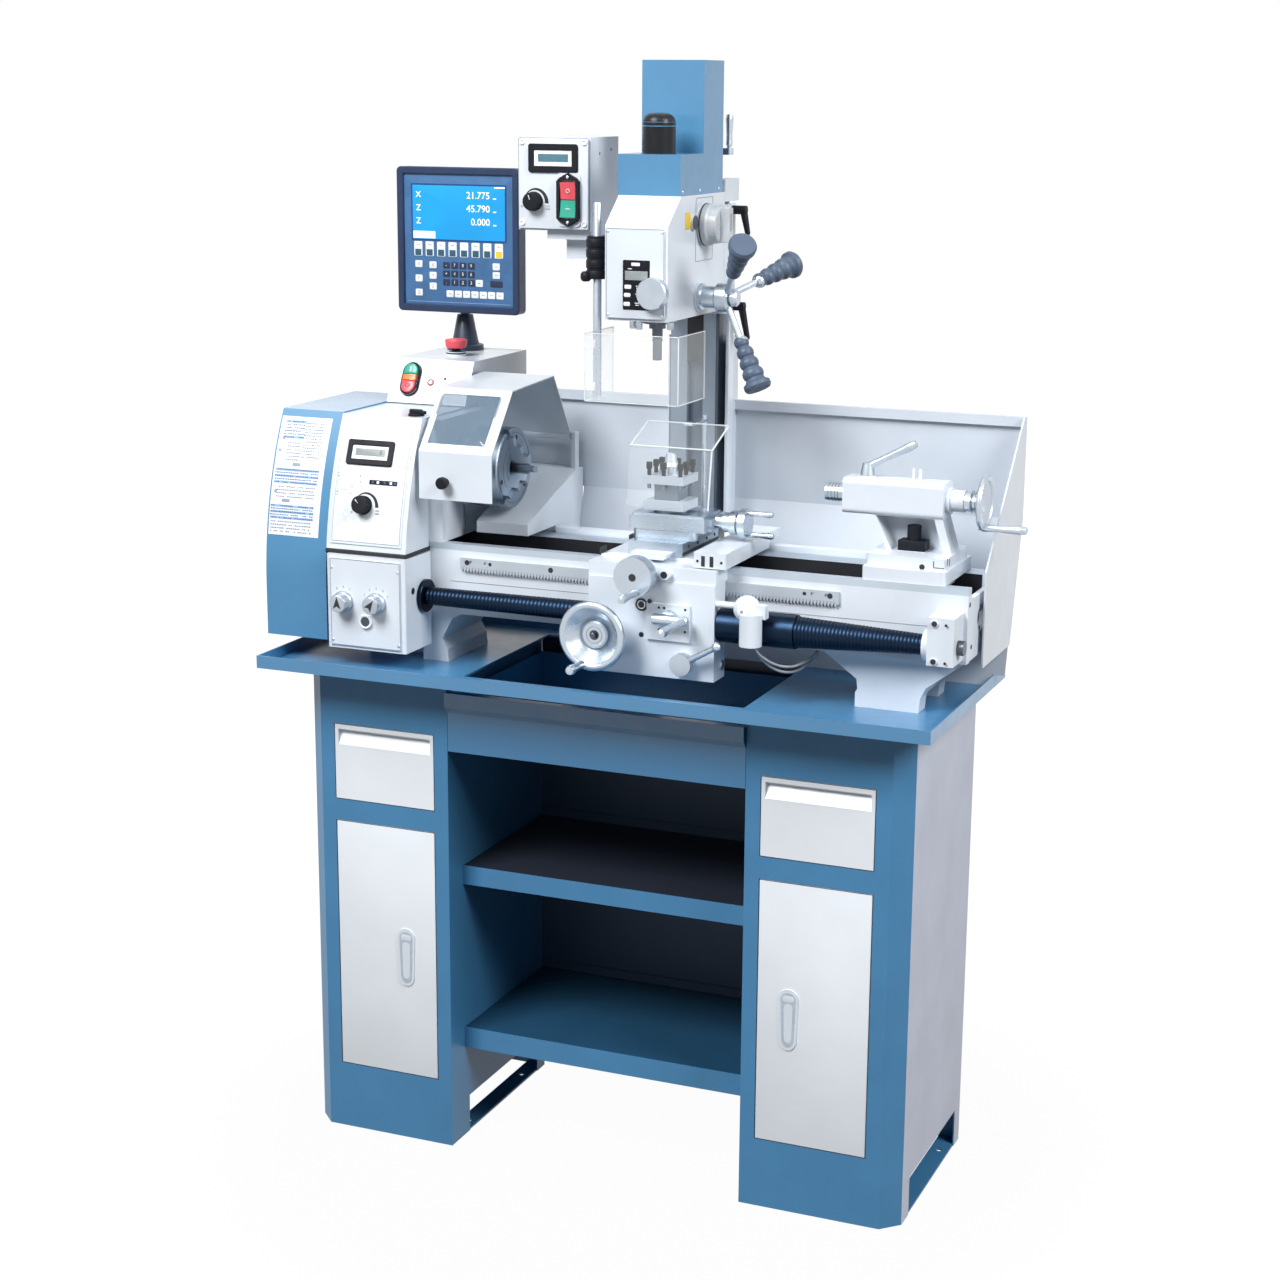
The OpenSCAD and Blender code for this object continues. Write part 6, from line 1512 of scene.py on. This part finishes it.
class LATHEMILL_OT_saddle_details(bpy.types.Operator):
    """Sockets, wipers, screws and marks of the carriage and the tailstock"""
    bl_idname = "lathe_mill.saddle_details"
    bl_label = "Carriage and tailstock"

    def execute(self, context):
        build("cross_feed_dot", disc(front(86, -231.4, 1161), 7), "black_ink", "cross_feed_crank")
        build("cross_feed_dial", ring(30.1, 0.5, front(86, -199, 1161), 0, 72, 8), "grey_ink",
              "cross_feed_crank")
        build("apron_sockets", joined(disc(front(82, -178.1, 1102), 11.6),
                                      disc(front(100, -184.1, 1111), 4.4),
                                      disc(front(82, -178.1, 1047), 4.6),
                                      disc(front(128, -187.1, 1161), 6.4),
                                      *[disc(front(x, -184.2, z), 2.4) for x in (118, 128, 168)
                                        for z in (1101, 1061)]), "black_ink", "carriage")
        build("apron_socket_bush", ring(7, 1.2, front(82, -178.9, 1102), 0, 40, 8), "chrome", "carriage")
        build("handwheel_nut", turned([(0, 9), (4, 8.8), (5, 8), (5.2, 0), (8.6, 0.6), (9.2, 0), (0, -0.4)],
                                      front(10, -223.4, 1049), 32), "blued_steel", "apron_handwheel")
        build("handwheel_ring", ring(15, 0.7, front(10, -223.3, 1049), 0, 48, 8), "grey_ink",
              "apron_handwheel")
        ends = (((-25.4, -22.2), 1186), ((222.2, 225.4), 1182))
        build("way_wipers", joined(*[box(x, y, (1169.2, high), 0.8) for x, high in ends
                                     for y in ((-119.5, -92), (16, 62))]), "wiper_rubber", "carriage")
        # Black lines at the slides' gibs are painted shade in the gaps between the slides.
        build("slide_gib_lines", joined(*[box(x, (-119, 59), (1183, 1189), 0.2)
                                          for x in ((31.2, 31.9), (136.1, 136.8))]), "black_ink",
              "cross_slide")
        build("slide_gib_screws", joined(*[disc(side(136.2, y, 1196), 3.4, 0.9)
                                           for y in (-90, -45, 0, 40)]), "black_ink", "cross_slide")
        build("scale_cover_slots", joined(*[box((x, x + 7), (-166.5, -165.9), (1178, 1197), 0.3)
                                            for x in (190, 206)],
                                          *[disc(front(x, -166, 1187), 2.6) for x in (183, 228)]),
              "black_ink", "carriage")
        switch = front(286, -213.8, 1115)
        build("switch_cap", turned([(0, 3.4), (7, 3.2), (9, 2), (9.6, 0), (0, 0)], switch, 36), "white_abs",
              "carriage")
        build("switch_screws", joined(disc(into_frame(switch, (0, 0, 3.3)), 3, 0.4),
                                      disc(front(312, -202.2, 1106), 3.6, 0.6)), "grey_ink", "carriage")
        build("carriage_lock", joined(disc(side(222.2, -142, 998), 8.6, 3),
                                      ring(8.6, 1.4, side(222.2, -142, 998), 1, 40, 8)), "chrome",
              "carriage")
        build("tailstock_clamp", joined(turned([(12.4, 1228), (12.4, 1256.6), (11.4, 1257.6), (0, 1257.6),
                                                (0, 1228)], top(539, -38, 0), 40),
                                        box((513.4, 562.6), (-52.6, -21.4), (1213.4, 1231.6), 1.2)),
              "black_abs", "tailstock")
        face = -100.2
        build("tailstock_marks", joined(disc(front(572, face, 1197), 5, 0.8),
                                        box((592, 593.2), (face - 0.4, face), (1198, 1209), 0.1),
                                        box((592, 612), (face - 0.4, face), (1197, 1198.2), 0.1),
                                        *[box((x, x + 1.2), (face - 0.4, face), (1203, 1215), 0.1)
                                          for x in (616, 620)]), "black_ink", "tailstock")
        build("quill_rings", joined(*[turned([(15.9, 0), (16.5, 0.2), (16.5, 0.8), (15.9, 1)],
                                             on_spindle(x), 40) for x in (380, 386, 392, 398)]),
              "blued_steel", "tailstock_quill")
        build("tailstock_collar", joined(*[ring(19, 0.5, on_spindle(x), 0, 48, 8)
                                           for x in (638, 646, 654)]), "blued_steel", "tailstock")
        return {"FINISHED"}


OPERATORS = (
    LATHEMILL_OT_stage, LATHEMILL_OT_finishes, LATHEMILL_OT_cable, LATHEMILL_OT_headstock_panel,
    LATHEMILL_OT_chart, LATHEMILL_OT_gearbox, LATHEMILL_OT_switches, LATHEMILL_OT_readout,
    LATHEMILL_OT_mill_controls, LATHEMILL_OT_screw_covers, LATHEMILL_OT_stand_details,
    LATHEMILL_OT_bed_details, LATHEMILL_OT_mill_front, LATHEMILL_OT_guards,
    LATHEMILL_OT_doors, LATHEMILL_OT_hood_and_chuck, LATHEMILL_OT_saddle_details,
)


class LATHEMILL_PT_panel(bpy.types.Panel):
    """Lists the pieces in the sidebar"""
    bl_idname = "LATHEMILL_PT_panel"
    bl_label = "Lathe mill"
    bl_space_type = "VIEW_3D"
    bl_region_type = "UI"
    bl_category = "Lathe mill"

    def draw(self, context):
        for group in (context.scene.lathe_mill_paint, context.scene.lathe_mill_light):
            for key in group.__annotations__:
                self.layout.prop(group, key)
        for operator in OPERATORS:
            self.layout.operator(operator.bl_idname)


CLASSES = (MachinePaint, MachineLight) + OPERATORS + (LATHEMILL_PT_panel,)


def register():
    for item in CLASSES:
        bpy.utils.register_class(item)
    bpy.types.Scene.lathe_mill_paint = PointerProperty(type=MachinePaint)
    bpy.types.Scene.lathe_mill_light = PointerProperty(type=MachineLight)


def unregister():
    del bpy.types.Scene.lathe_mill_light
    del bpy.types.Scene.lathe_mill_paint
    for item in reversed(CLASSES):
        bpy.utils.unregister_class(item)


def main():
    """Registers the classes and makes every piece in order."""
    register()
    for operator in OPERATORS:
        getattr(bpy.ops.lathe_mill, operator.bl_idname.split(".")[1])()


if __name__ == "__main__":
    main()
